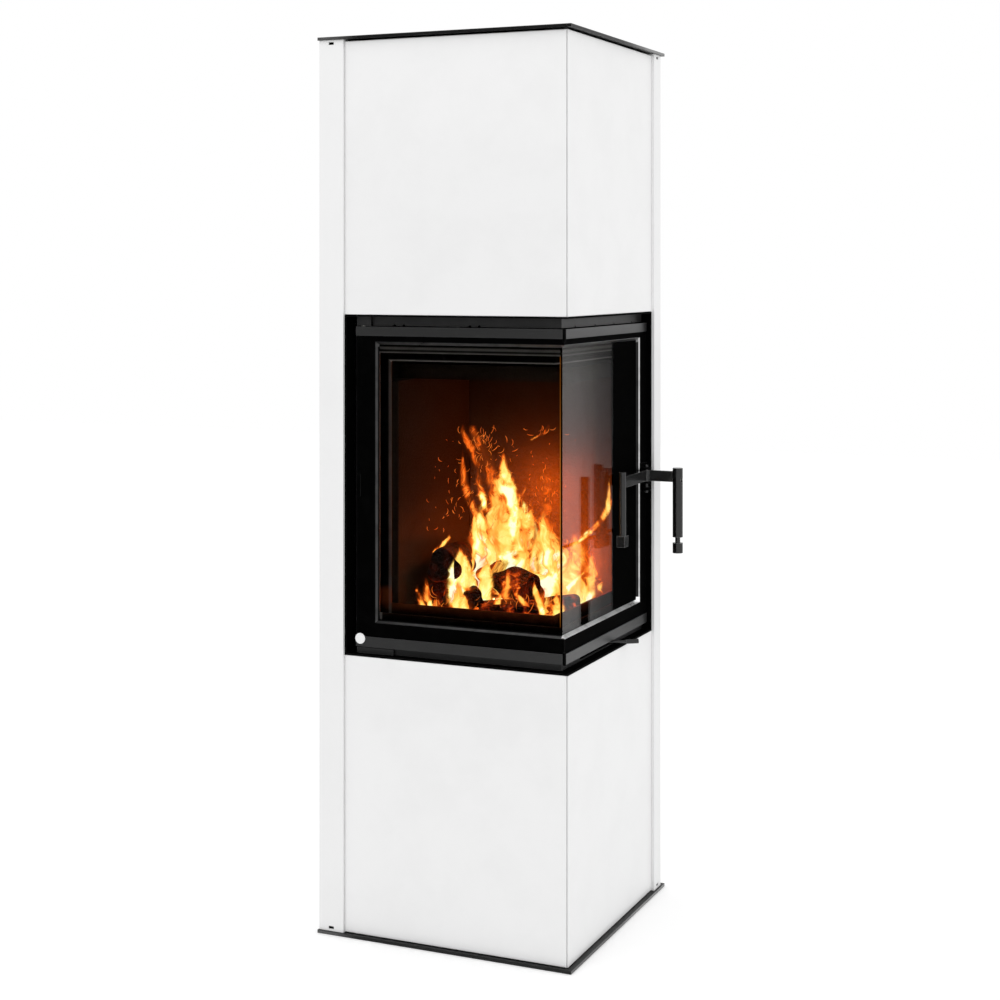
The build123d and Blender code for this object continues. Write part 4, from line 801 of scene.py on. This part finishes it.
def shell_faces(rows, columns, first=0):
    """Faces of rings whose first and last rows are closed by fans to one pole each, the poles following the rings."""
    j = np.arange(columns)
    after = (j + 1) % columns
    low, high = first + rows * columns, first + rows * columns + 1
    top = first + (rows - 1) * columns
    low_fan = np.stack([np.full(columns, low), first + after, first + j], -1)
    high_fan = np.stack([np.full(columns, high), top + j, top + after], -1)
    return sheet_faces(rows, columns, first, True) + low_fan.tolist() + high_fan.tolist()


def across_and_up(path):
    """For points along a path, two unit vectors square to it and to each other: w = t x z and n = w x t."""
    t = np.gradient(path, axis=0)
    t /= np.linalg.norm(t, axis=1, keepdims=True)
    w = np.cross(t, np.array([0.0, 0.0, 1.0]) + 1e-6)
    w /= np.linalg.norm(w, axis=1, keepdims=True)
    return w, np.cross(w, t)


def ripple(angle, along, seed, octaves=5):
    """A seeded sum of sines over an angle and a length: sum of sin(k a + m s + p) / k for k = 1, 2, ..."""
    rng = np.random.default_rng(seed)
    total = np.zeros(np.broadcast(angle, along).shape)
    for k in range(1, octaves + 1):
        m, p, q = rng.uniform(-60, 60), rng.uniform(0, 2 * np.pi), rng.uniform(0, 2 * np.pi)
        total += np.sin(k * angle + p) * np.cos(m * k * along + q) / k
    return total / 1.6


def billet(start, end, radius, seed, split=0.18, glow=1.0, lobes=3, rows=40, columns=48):
    """A split log. With a round it and s along it, its radius is r(a, s) = radius (1 + split cos(lobes a + c) / 2 +
    bark), bark being a ripple of a and s; the two cut ends are rings of shrinking radius that stay nearly flat."""
    rng = np.random.default_rng(seed)
    start, end = np.array(start), np.array(end)
    length = np.linalg.norm(end - start)
    s = np.concatenate([[0, 0, 0], np.linspace(0, 1, rows - 6), [1, 1, 1]])
    shrink = np.concatenate([[0.3, 0.65, 0.93], np.ones(rows - 6), [0.93, 0.65, 0.3]])
    bow = 0.1 * radius * np.sin(np.pi * s)
    path = start + (end - start) * s[:, None]
    straight = start + (end - start) * np.linspace(0, 1, rows)[:, None]
    w, n = across_and_up(straight)
    a = np.linspace(0, 2 * np.pi, columns, endpoint=False)[None, :]
    along = (s * length)[:, None]
    bark = 0.05 * ripple(a, along, seed) + 0.025 * ripple(a * 3, along * 2, seed + 1)
    r = radius * shrink[:, None] * (1 + split * np.cos(lobes * a + rng.uniform(0, 6)) / 2 + bark)
    rough_cut = 0.03 * radius * ripple(a, shrink[:, None] * 0.05, seed + 2) * (shrink[:, None] < 1)
    direction = (end - start) / length
    points = (
        path[:, None, :]
        + (bow[:, None, None] + r[..., None] * np.cos(a)[..., None]) * n[:, None, :]
        + r[..., None] * np.sin(a)[..., None] * w[:, None, :]
        + rough_cut[..., None] * direction
    )
    cut = np.broadcast_to((shrink < 0.95)[:, None], r.shape).astype(float)
    heart = np.broadcast_to(shrink[:, None], r.shape)
    grain = np.stack([r * np.cos(a), r * np.sin(a), along + 0 * a + seed * 0.37], -1)
    poles = np.stack([path[0], path[-1]])
    flat = np.concatenate([points.reshape(-1, 3), poles])
    low = flat[:, 2].min()
    lit = glow * np.clip(1.25 - (flat[:, 2] - low) / (2.4 * radius), 0.15, 1)
    return {
        "points": flat,
        "faces": shell_faces(rows, columns),
        "cut": np.concatenate([cut.ravel(), [1, 1]]),
        "heart": np.concatenate([heart.ravel(), [0, 0]]),
        "grain": np.concatenate([grain.reshape(-1, 3), [[0, 0, seed * 0.37], [0, 0, length + seed * 0.37]]]),
        "glow": lit,
    }


CAMERA_SIDE = np.array([0.9148, 0.4039, 0.0])
CAMERA_DEPTH = np.array([-0.4039, 0.9148, 0.0])
FIRE_CENTRE = np.array([-0.010, -0.020, 0.0])
# How far the flames keep from the linings and the side pane, and where they end towards the front pane (y).
WALL_GAP, GLASS_GAP, DOOR_LIMIT = 0.004, 0.008, -0.17
# The sheets that face the camera lie at these depths, and those that cross them at these places to the side.
FACING_DEPTHS = (-0.112, -0.086, -0.052, -0.022, 0.004, 0.022, 0.046)
CROSSING_SIDES = (-0.085, -0.036, 0.000, 0.032, 0.070, 0.110, 0.160)
# The tongues of flame: foot (side, height), top (side, height), width, sway and depth in mm, and heat in hundredths.
TONGUES = (
    (45, 665, 28, 774, 18, 6, 0, 110), (4, 690, -16, 764, 11, -4, 10, 105), (12, 700, 24, 757, 16, 0, 12, 95),
    (90, 625, 46, 738, 13, 8, -10, 110), (30, 600, 16, 745, 32, 0, 30, 55), (20, 545, 22, 697, 55, 0, 15, 105),
    (-10, 555, -12, 674, 34, 0, 0, 110), (-26, 600, -22, 692, 8, 2, -20, 95), (70, 560, 65, 692, 42, 0, 5, 110),
    (110, 555, 100, 670, 34, 4, 15, 105), (130, 540, 120, 632, 30, 0, 30, 100), (-50, 556, -42, 632, 24, 0, -86, 110),
    (-2, 555, -6, 628, 18, 0, -86, 85), (32, 545, 36, 598, 12, 0, -86, 65), (-30, 535, -34, 602, 24, 0, -52, 105),
    (-36, 521, -36, 562, 24, 0, -112, 110), (-85, 521, -84, 558, 14, 0, -95, 95), (105, 525, 95, 582, 18, 0, -72, 90),
    (5, 530, 30, 577, 12, 0, -114, 85), (150, 545, 150, 642, 35, 0, 20, 90), (150, 638, 211, 729, 9, 20, 15, 95),
    (140, 565, 178, 600, 10, 0, 0, 110), (188, 535, 196, 602, 12, 0, 30, 75), (165, 525, 160, 577, 24, 0, 0, 95),
    (8, 745, -26, 838, 20, 4, 30, 34), (-15, 775, -43, 832, 13, 0, 40, 28), (-20, 690, -43, 777, 11, -6, 20, 36),
    (78, 818, 108, 842, 6, 6, 40, 34), (-88, 635, -65, 659, 8, 0, -50, 85), (110, 640, 105, 752, 26, 0, 60, 26),
    (-60, 536, -48, 582, 18, 0, -112, 90), (-108, 540, -118, 574, 9, 3, -86, 85),
    (-88, 540, -102, 590, 9, -5, -112, 90), (18, 538, 34, 564, 17, 4, -112, 66), (64, 538, 50, 572, 10, 6, -112, 80),
    (94, 540, 80, 584, 9, 0, -112, 85), (178, 535, 182, 610, 20, 0, 22, 85), (122, 525, 118, 556, 16, 0, -52, 80),
)


def fire_point(side, height, depth=0.0):
    """A point of the fire, from how far it is to the right of, above and behind the fire's middle as the camera sees
    it."""
    side, height, depth = np.broadcast_arrays(side, height, depth)
    return FIRE_CENTRE + side[..., None] * CAMERA_SIDE + depth[..., None] * CAMERA_DEPTH + height[..., None] * UP


def flame_field(side, height, depth, tongues):
    """How deep each point lies in the flames, and how hot it is. A tongue's middle line goes from its foot to its top
    with a sway of sin(pi v). With r the distance from that line over the tongue's width there, the tongue's depth is
    1 - r, less three times what v lies outside 0 to 1. The deepest tongue counts, and heat falls by half along v."""
    side, height, depth = (part.ravel()[None] for part in np.broadcast_arrays(side, height, depth))
    foot_s, foot_z, top_s, top_z, width, sway, back, hot = (column[:, None] for column in tongues.T)
    v = (height - foot_z) / (top_z - foot_z)
    w = np.clip(v, 0, 1)
    line = foot_s + (top_s - foot_s) * w + sway * np.sin(np.pi * w)
    half = width * (1 - 0.9 * w) ** 0.5 * (0.6 + w) ** 0.6
    r = np.hypot((side - line) / half, (depth - back) / (0.7 * half + 0.010))
    inside = 1 - r - 3 * np.abs(v - w)
    body = inside.max(0)
    share = np.exp(5 * (inside - body))
    heat = (share * hot * (1.06 - 0.42 * w)).sum(0) / share.sum(0)
    return body, heat


def curls(side, height, depth, length, turn, bend, thick):
    """Closed curled tubes, one for each entry: 7 rings of 4 points along an arc that is length long, starts at the
    heading turn and bends by bend radians, with a radius thick sin(pi t) that ends in a pole at each tip."""
    t = np.linspace(0, 1, 7)
    heading = turn[:, None] + bend[:, None] * (t - 0.5)
    step = length[:, None] / 6
    go_side = np.cumsum(np.sin(heading), 1) * step
    go_up = np.cumsum(np.cos(heading), 1) * step
    spine_side = side[:, None] + go_side - go_side.mean(1, keepdims=True)
    spine_up = height[:, None] + go_up - go_up.mean(1, keepdims=True)
    r = thick[:, None, None] * np.sin(np.pi * (0.1 + 0.8 * t))[None, :, None]
    a = np.linspace(0, 2 * np.pi, 4, endpoint=False)[None, None, :]
    across = spine_side[..., None] + r * np.cos(a) * np.cos(heading)[..., None]
    up = spine_up[..., None] - r * np.cos(a) * np.sin(heading)[..., None]
    back = depth[:, None, None] - r * np.sin(a)
    rings = fire_point(across, up, back)
    poles = np.stack([rings[:, 0].mean(1), rings[:, -1].mean(1)], 1)
    points = np.concatenate([rings.reshape(len(side), 28, 3), poles], 1)
    faces = []
    for i in range(len(side)):
        faces += shell_faces(7, 4, i * 30)
    tail = np.tile(np.concatenate([np.repeat(1 - t, 4), [1, 0]]), len(side))
    return points, faces, tail


# ---------------------------------------------------------------- operators


def dress(material, *names):
    """Gives CAD nodes a material."""
    for name in names:
        mesh = frame["nodes"][name].data
        mesh.materials.clear()
        mesh.materials.append(material)


def looks(context):
    """The scene's colour settings."""
    return context.scene.stove_colours


class STOVE_OT_tiles(bpy.types.Operator):
    """Glazes the four large tiles."""

    bl_idname = "stove.tiles"
    bl_label = "Tiles"

    def execute(self, context):
        dress(
            glazed_tile(looks(context).tile),
            "tile_front_lower", "tile_side_lower", "tile_front_upper", "tile_side_upper",
        )
        return {"FINISHED"}


class STOVE_OT_casing(bpy.types.Operator):
    """Coats the sheet casing and the base and top plates."""

    bl_idname = "stove.casing"
    bl_label = "Casing and plates"

    def execute(self, context):
        dress(white_coat(looks(context).coat), "casing_left", "casing_back")
        dress(plate_steel(looks(context).plate), "base_plate", "top_plate")
        return {"FINISHED"}


class STOVE_OT_door(bpy.types.Operator):
    """Paints the collar, the door frame, its trim bars and its blank disc."""

    bl_idname = "stove.door"
    bl_label = "Collar and door"

    def execute(self, context):
        colours = looks(context)
        dress(
            frame_black(colours.frame),
            "collar_sill", "collar_lintel", "collar_jambs", "door_frame", "handle_bracket", "stile_plate",
            "latch_keeper", "latch_pawl",
        )
        dress(frame_black(colours.frame, 40, RETAINER_LIP_HIGHLIGHTS, "retainer_black"), "glass_retainer")
        dress(sheet_grey(colours.sheet), "outlet_sheet_upper", "outlet_sheet_lower", "hinge_brackets")
        dress(polished_bezel(colours.bezel), "glass_bezel")
        dress(bar_lacquer(colours.lacquer), "door_trim")
        dress(badge_disc(), "badge_disc")
        return {"FINISHED"}


class STOVE_OT_glass(bpy.types.Operator):
    """Gives the two panes their ceramic glass and the seals their woven rope."""

    bl_idname = "stove.glass"
    bl_label = "Glass and seals"

    def execute(self, context):
        dress(ceramic_glass(False), "glass_front")
        dress(ceramic_glass(True), "glass_side")
        dress(glass_rope(looks(context).rope), "glass_gasket", "door_gasket")
        return {"FINISHED"}


class STOVE_OT_handle(bpy.types.Operator):
    """Lacquers the door handle and the air lever."""

    bl_idname = "stove.handle"
    bl_label = "Handles"

    def execute(self, context):
        dress(
            handle_lacquer(looks(context).handle),
            "handle_lever", "handle_grip", "handle_post", "handle_pin", "air_lever", "air_lever_knob",
        )
        return {"FINISHED"}


class STOVE_OT_steelwork(bpy.types.Operator):
    """Finishes the galvanised frame and duct, and the zinc-plated screws and pins."""

    bl_idname = "stove.steelwork"
    bl_label = "Frame and screws"

    def execute(self, context):
        dress(
            galvanised_sheet(looks(context).galvanised),
            "tile_clips", "frame_posts", "frame_bars", "support_rails", "heat_shields",
            "air_box", "air_inlet_spigot", "air_slide", "ash_pan",
        )
        dress(
            zinc_plate(looks(context).zinc),
            "casing_screws", "retainer_screws", "grip_screw", "hinge_pins", "air_lever_pivot",
        )
        return {"FINISHED"}


class STOVE_OT_firebox(bpy.types.Operator):
    """Paints the firebox and pipe, and gives the linings and the grate their finishes."""

    bl_idname = "stove.firebox"
    bl_label = "Firebox"

    def execute(self, context):
        dress(
            matt_stove_paint(looks(context).stove_paint),
            "firebox_walls", "firebox_floor", "firebox_top", "baffle_upper",
            "flue_collar", "flue_pipe",
        )
        dress(
            vermiculite(looks(context).lining),
            "lining_left", "lining_back", "lining_right", "lining_floor", "baffle_lower",
        )
        dress(frame_black(looks(context).frame, 20, FACE_LIP_HIGHLIGHTS, "face_black"), "firebox_face")
        dress(cast_iron(looks(context).iron), "grate")
        return {"FINISHED"}


class STOVE_OT_logs(bpy.types.Operator):
    """Lays the burning billets on the grate."""

    bl_idname = "stove.logs"
    bl_label = "Logs"

    def execute(self, context):
        fire = context.scene.stove_fire
        wood = charred_wood(looks(context).bark, fire.middle)
        laid = {
            "log_left": (fire_point(-0.074, 0.614, -0.082), fire_point(-0.040, 0.604, 0.050), 0.028, 3, 0.3, 0.30, 3),
            "log_middle": (fire_point(-0.030, 0.588, 0.066), fire_point(0.076, 0.562, -0.052), 0.030, 11, 0.26, 1.7, 4),
            "log_prop": (fire_point(-0.086, 0.570, -0.078), fire_point(-0.020, 0.560, 0.030), 0.018, 15, 0.3, 1.0, 3),
            "log_knot": (fire_point(-0.021, 0.562, -0.104), fire_point(-0.034, 0.556, -0.010), 0.016, 23, 0.3, 0.7, 4),
            "log_front": (fire_point(-0.012, 0.540, -0.100), fire_point(0.086, 0.539, -0.088), 0.019, 19, 0.3, 1.2, 3),
            "log_low": (fire_point(0.080, 0.537, -0.060), fire_point(0.150, 0.535, 0.010), 0.017, 27, 0.3, 1.0, 4),
            "log_under": (fire_point(-0.080, 0.538, -0.035), fire_point(0.085, 0.538, 0.030), 0.021, 33, 0.2, 1.0, 3),
        }
        for name, (start, end, radius, seed, split, glow, lobes) in laid.items():
            shape = billet(start, end, radius, seed, split, glow, lobes)
            points, faces = shape.pop("points"), shape.pop("faces")
            make_piece(name, points, faces, wood, "grate", **shape)
        return {"FINISHED"}


class STOVE_OT_embers(bpy.types.Operator):
    """Heaps ash and embers on the grate."""

    bl_idname = "stove.embers"
    bl_label = "Embers"

    def execute(self, context):
        fire = context.scene.stove_fire
        self.bed(context)
        self.coals(fire, looks(context).ash)
        return {"FINISHED"}

    def bed(self, context):
        """The bed: a lens over the grate's outline, a superellipse of power 6, whose top at a share q of the way out
        is 15 mm (1 - q^4) high with a seeded ripple on it, and whose underside is flat."""
        middle = (np.array(GRATE_LOW) + np.array(GRATE_HIGH)) / 2
        half = (np.array(GRATE_HIGH) - np.array(GRATE_LOW))[:2] / 2 - 0.003
        a = np.linspace(0, 2 * np.pi, 72, endpoint=False)[None, :]
        reach = (np.abs(np.cos(a)) ** 6 + np.abs(np.sin(a)) ** 6) ** (-1 / 6)
        under = np.linspace(0.1, 1.0, 5)[:, None]
        over = np.linspace(1.0, 0.04, 26)[:, None]
        q = np.concatenate([under, over])
        lift = np.concatenate([0 * under, 0.0035 + 0.015 * (1 - over**4)]) + 0 * a
        x = middle[0] + half[0] * q * reach * np.cos(a)
        y = middle[1] + half[1] * q * reach * np.sin(a)
        hill = 0.3 * np.sin(90 * x + 1) * np.cos(80 * y) + 0.25 * np.sin(170 * x + 120 * y)
        lift = lift * (1 + hill * (lift > 0.005))
        z = GRATE_HIGH[2] + 0.0006 + lift
        rings = np.stack([x, y, z], -1)
        poles = np.stack([rings[0].mean(0), rings[-1].mean(0)])
        points = np.concatenate([rings.reshape(-1, 3), poles])
        make_piece("ash_on_grate", points, shell_faces(*q.shape[:1], 72), ash_bed(looks(context).ash), "grate")

    def coals(self, fire, ash):
        """The embers: balls of 6 rings by 8 points with each point's radius varied by up to a third, squashed to
        two thirds in height, strewn by a seeded normal law and heaped to the middle."""
        rng = np.random.default_rng(71)
        count = fire.ember_count
        theta = np.linspace(0.35, np.pi - 0.35, 6)[None, :, None]
        phi = np.linspace(0, 2 * np.pi, 8, endpoint=False)[None, None, :]
        size = fire.ember_size * rng.uniform(0.55, 1.5, (count, 1, 1))
        r = size * (1 + 0.33 * rng.uniform(-1, 1, (count, 6, 8)))
        side = np.clip(rng.normal(0.020, 0.058, count), -0.085, 0.135)
        deep = np.clip(rng.normal(-0.02, 0.05, count), -0.075, 0.06)
        heap = np.exp(-((side - 0.02) ** 2) / 0.006 - (deep + 0.01) ** 2 / 0.006)
        height = 0.525 + 0.028 * heap * rng.uniform(0.2, 1, count)
        centre = fire_point(side, height, deep)[:, None, None, :]
        centre[..., 0] = np.clip(centre[..., 0], GRATE_LOW[0] + 0.012, GRATE_HIGH[0] - 0.012)
        centre[..., 1] = np.clip(centre[..., 1], GRATE_LOW[1] + 0.012, GRATE_HIGH[1] - 0.012)
        wide = r * np.sin(theta)
        ball = np.stack([wide * np.cos(phi), wide * np.sin(phi), -0.66 * r * np.cos(theta)], -1)
        rings = (centre + ball).reshape(count, 48, 3)
        poles = centre[:, 0] + np.array([[0, 0, -1.0], [0, 0, 1.0]]) * 0.62 * size
        points = np.concatenate([rings, poles], 1)
        faces = []
        for i in range(count):
            faces += shell_faces(6, 8, i * 50)
        heat = np.repeat(rng.uniform(0.15, 1.0, count), 50)
        made = live_embers(ash, fire.middle)
        make_piece("embers", points.reshape(-1, 3), faces, made, "grate", glow=heat)


class STOVE_OT_flames(bpy.types.Operator):
    """Raises the flames over the logs."""

    bl_idname = "stove.flames"
    bl_label = "Flames"

    def execute(self, context):
        fire = context.scene.stove_fire
        gas = flame_gas(fire.core, fire.middle, fire.edge, fire.strength)
        tongues = np.array(TONGUES) / (*(1000,) * 7, 100)
        self.raise_set("flames_facing", True, tongues, gas, fire)
        self.raise_set("flames_crossing", False, tongues, gas, fire)
        return {"FINISHED"}

    def raise_set(self, name, facing, tongues, gas, fire):
        """Upright sheets that cut through the flames, square to the corner view or along it. Only the quads that lie in
        the firebox and near a flame are kept."""
        points, faces, body, heat = [], [], [], []
        first = 0
        z = np.arange(LINING_FLOOR_HIGH[2] + 0.002, fire.reach, fire.slice_gap)[:, None]
        offsets, end = (FACING_DEPTHS, 0.22) if facing else (CROSSING_SIDES, 0.09)
        u = np.arange(-0.13, end, fire.slice_gap)[None, :]
        room_low = (LINING_LEFT_HIGH[0] + WALL_GAP, DOOR_LIMIT, 0)
        room_high = (GLASS_SIDE_LOW[0] - GLASS_GAP, LINING_LEFT_HIGH[1] - WALL_GAP, 2)
        for offset in offsets:
            side = u + 0 * z if facing else offset + 0 * u + 0 * z
            depth = offset + 0.004 * np.sin(31 * u + 23 * z) if facing else u + 0 * z
            height = z + 0 * u
            place = fire_point(side, height, depth).reshape(-1, 3)
            deep, hot = flame_field(side, height, depth, tongues)
            roomy = (place > room_low) & (place < room_high)
            quads = np.array(sheet_faces(*height.shape))
            quads = quads[roomy.all(1)[quads].all(1) & (deep[quads].max(1) > -0.5)]
            used, quads = np.unique(quads, return_inverse=True)
            faces += (quads.reshape(-1, 4) + first).tolist()
            first += len(used)
            points.append(place[used])
            body.append(deep[used])
            heat.append(hot[used])
        make_fire_piece(
            name, np.concatenate(points), faces, gas, deep=np.concatenate(body), warmth=np.concatenate(heat)
        )


class STOVE_OT_sparks(bpy.types.Operator):
    """Throws sparks and fine threads of flame over the fire."""

    bl_idname = "stove.sparks"
    bl_label = "Sparks"

    def execute(self, context):
        fire = context.scene.stove_fire
        glow = spark_glow(fire.middle, fire.edge)
        self.sparks(fire, glow)
        self.threads(glow)
        return {"FINISHED"}

    def sparks(self, fire, glow):
        """Short curls strewn by a seeded law over the flames, wider apart the higher they are."""
        rng = np.random.default_rng(83)
        count = fire.spark_count
        rise = rng.uniform(0, 1, count) ** 0.8
        side = np.clip(0.020 + rng.normal(0, 0.03 + 0.045 * rise, count), -0.09, 0.15)
        height = 0.640 + (fire.reach - 0.655) * rise
        length = fire.spark_length * rng.uniform(0.3, 1.5, count)
        turn, bend = rng.uniform(-1.2, 1.2, count), rng.uniform(-2.2, 2.2, count)
        thick = rng.uniform(0.00022, 0.00045, count)
        self.strew("sparks", glow, side, height, rng.uniform(-0.05, 0.07, count), length, turn, bend, thick)

    def threads(self, glow):
        """Longer curls in groups, each about a middle (side, height, depth) with a spread, pointing away from the
        group's root below it."""
        rng = np.random.default_rng(29)
        # Each group: middle (side, height, depth), spread (side, height), count, shortest and longest thread.
        groups = (
            (-0.008, 0.806, 0.03, 0.019, 0.017, 54, 0.006, 0.017),
            (-0.046, 0.732, 0.02, 0.018, 0.026, 26, 0.005, 0.014),
            (0.104, 0.728, 0.04, 0.018, 0.020, 24, 0.004, 0.011),
            (-0.098, 0.690, 0.00, 0.016, 0.020, 10, 0.004, 0.009),
            (0.172, 0.600, 0.01, 0.020, 0.034, 24, 0.004, 0.012),
            (-0.070, 0.560, -0.10, 0.034, 0.012, 30, 0.008, 0.024),
            (0.060, 0.556, -0.11, 0.034, 0.008, 20, 0.008, 0.022),
            (0.090, 0.832, 0.04, 0.014, 0.005, 9, 0.006, 0.016),
        )
        parts = []
        for side, height, depth, wide, tall, count, short, long in groups:
            ds, dz = rng.normal(0, wide, count), rng.normal(0, tall, count)
            length = rng.uniform(short, long, count)
            turn = np.arctan2(ds, dz + 2.5 * tall) + rng.normal(0, 0.45, count)
            bend = rng.uniform(0.6, 2.0, count) * np.where(ds > 0, -1, 1)
            thick = rng.uniform(0.00024, 0.00058, count)
            parts.append((side + ds, height + dz, depth + rng.uniform(-0.015, 0.015, count), length, turn, bend, thick))
        self.strew("flame_threads", glow, *(np.concatenate(part) for part in zip(*parts)))

    def strew(self, name, glow, side, height, depth, length, *shape):
        """Makes the curls, with their tops under the flames' reach and their bottoms over the floor."""
        fire = bpy.context.scene.stove_fire
        height = np.clip(height, LINING_FLOOR_HIGH[2] + 0.004 + length / 2, fire.reach - length / 2 - 0.001)
        points, faces, tail = curls(np.clip(side, -0.104, 0.195), height, depth, length, *shape)
        make_fire_piece(name, points, faces, glow, tail=tail)


def hang_lamp(name, kind, power, place):
    """A lamp that gloss doesn't mirror."""
    lamp = bpy.data.lights.new(name, kind)
    lamp.energy = power
    made = bpy.data.objects.new(name, lamp)
    made.location = place
    made.visible_glossy = False
    bpy.context.scene.collection.objects.link(made)
    return made


class STOVE_OT_studio(bpy.types.Operator):
    """Sets the floor, the white surround, the soft lamps, the fire's glow and the camera."""

    bl_idname = "stove.studio"
    bl_label = "Studio"

    def execute(self, context):
        studio = context.scene.stove_studio
        fire = context.scene.stove_fire
        self.floor(studio)
        self.cards()
        self.surround(studio)
        self.lamps(studio)
        self.glow(fire)
        self.camera(context, studio)
        context.scene.view_settings.view_transform = "Standard"
        return {"FINISHED"}

    def floor(self, studio):
        """A flat square at z = 0 less half a millimetre."""
        side = np.linspace(-0.5, 0.5, 5) * studio.floor_size
        y, x = np.meshgrid(side, side, indexing="ij")
        made = make_piece("studio_floor", np.stack([x, y, 0 * x - 0.0005], -1), sheet_faces(5, 5), studio_floor())

    def cards(self):
        """Cards that only reflections see: a black one for the front, a grey one for the glazed side."""
        for name, levels, centre, heading, half, tall in (
            ("card_front", (0.0, 0.0), (-0.62, -1.55, 0.70), (-0.371, -0.928), 0.42, 0.75),
            ("card_side", (0.22, 0.92), (0.49, 0.64, 0.665), (0.404, 0.915), 0.27, 0.31),
        ):
            along = np.array([-heading[1], heading[0], 0.0])
            u, w = np.meshgrid(np.linspace(-1, 1, 5), np.linspace(-1, 1, 5))
            points = np.array(centre) + (half * u)[..., None] * along + (tall * w)[..., None] * UP
            made = make_piece(name, points, sheet_faces(5, 5), flag_card(name, *levels))
            made.visible_camera = False
            made.visible_diffuse = False
            made.visible_shadow = False

    def surround(self, studio):
        """White all round; what the camera, gloss and glass see of it is full white."""
        world = bpy.data.worlds.new("studio_surround")
        bpy.context.scene.world = world
        f = Finish("surround", world)
        level = studio.sky + (1.0 - studio.sky) * f.seen()
        light = f.node("ShaderNodeBackground", None, {"Color": (*WHITE, 1.0), "Strength": level})
        f.finished(light, "ShaderNodeOutputWorld")

    def lamps(self, studio):
        """A broad soft key lamp high at the front left and a weaker one at the right."""
        for name, power, place, turn in (
            ("key_lamp", studio.key, (-1.6, -2.6, 2.9), (math.radians(52), 0.0, math.radians(-32))),
            ("fill_lamp", studio.fill, (3.0, -1.2, 2.2), (math.radians(62), 0.0, math.radians(68))),
        ):
            made = hang_lamp(name, "AREA", power, place)
            made.data.shape = "DISK"
            made.data.size = 2.2
            made.rotation_euler = turn

    def glow(self, fire):
        """Three warm lamps inside the firebox, where the fire is hottest."""
        for number, (side, height, depth, share) in enumerate(
            ((0.085, 0.735, 0.030, 0.50), (0.030, 0.610, -0.090, 0.22), (0.150, 0.600, 0.020, 0.38))
        ):
            place = fire_point(side, height, depth)
            made = hang_lamp(f"fire_glow_{number}", "POINT", fire.glow_power * share, place)
            made.data.color = fire.glow_colour
            made.data.shadow_soft_size = 0.03
            made.visible_transmission = False

    def camera(self, context, studio):
        """A level camera whose lens is shifted down, so that upright edges stay upright."""
        lens = bpy.data.cameras.new("camera")
        lens.sensor_width = 36.0
        lens.lens = studio.lens
        lens.shift_y = studio.shift
        lens.clip_end = 60.0
        made = bpy.data.objects.new("camera", lens)
        made.location = studio.camera_place
        made.rotation_euler = (math.radians(90), 0.0, studio.camera_turn)
        context.scene.collection.objects.link(made)
        context.scene.camera = made


STEPS = (
    STOVE_OT_studio,
    STOVE_OT_tiles,
    STOVE_OT_casing,
    STOVE_OT_door,
    STOVE_OT_glass,
    STOVE_OT_handle,
    STOVE_OT_steelwork,
    STOVE_OT_firebox,
    STOVE_OT_logs,
    STOVE_OT_embers,
    STOVE_OT_flames,
    STOVE_OT_sparks,
)


class STOVE_PT_panel(bpy.types.Panel):
    """Lists the steps that dress the stove."""

    bl_idname = "STOVE_PT_panel"
    bl_label = "Tiled corner stove"
    bl_space_type = "VIEW_3D"
    bl_region_type = "UI"
    bl_category = "Stove"

    def draw(self, context):
        for step in STEPS:
            self.layout.operator(step.bl_idname)
        for settings in (context.scene.stove_colours, context.scene.stove_fire, context.scene.stove_studio):
            for name in settings.__annotations__:
                self.layout.prop(settings, name)


CLASSES = (StoveColours, StoveFire, StoveStudio, *STEPS, STOVE_PT_panel)


def register():
    """Registers the classes and puts the settings on the scene."""
    for item in CLASSES:
        bpy.utils.register_class(item)
    bpy.types.Scene.stove_colours = PointerProperty(type=StoveColours)
    bpy.types.Scene.stove_fire = PointerProperty(type=StoveFire)
    bpy.types.Scene.stove_studio = PointerProperty(type=StoveStudio)


def unregister():
    """Takes the settings and the classes away again."""
    del bpy.types.Scene.stove_studio
    del bpy.types.Scene.stove_fire
    del bpy.types.Scene.stove_colours
    for item in reversed(CLASSES):
        bpy.utils.unregister_class(item)


def main():
    """Dresses the stove."""
    register()
    for step in STEPS:
        group, name = step.bl_idname.split(".")
        getattr(getattr(bpy.ops, group), name)()


if __name__ == "__main__":
    main()
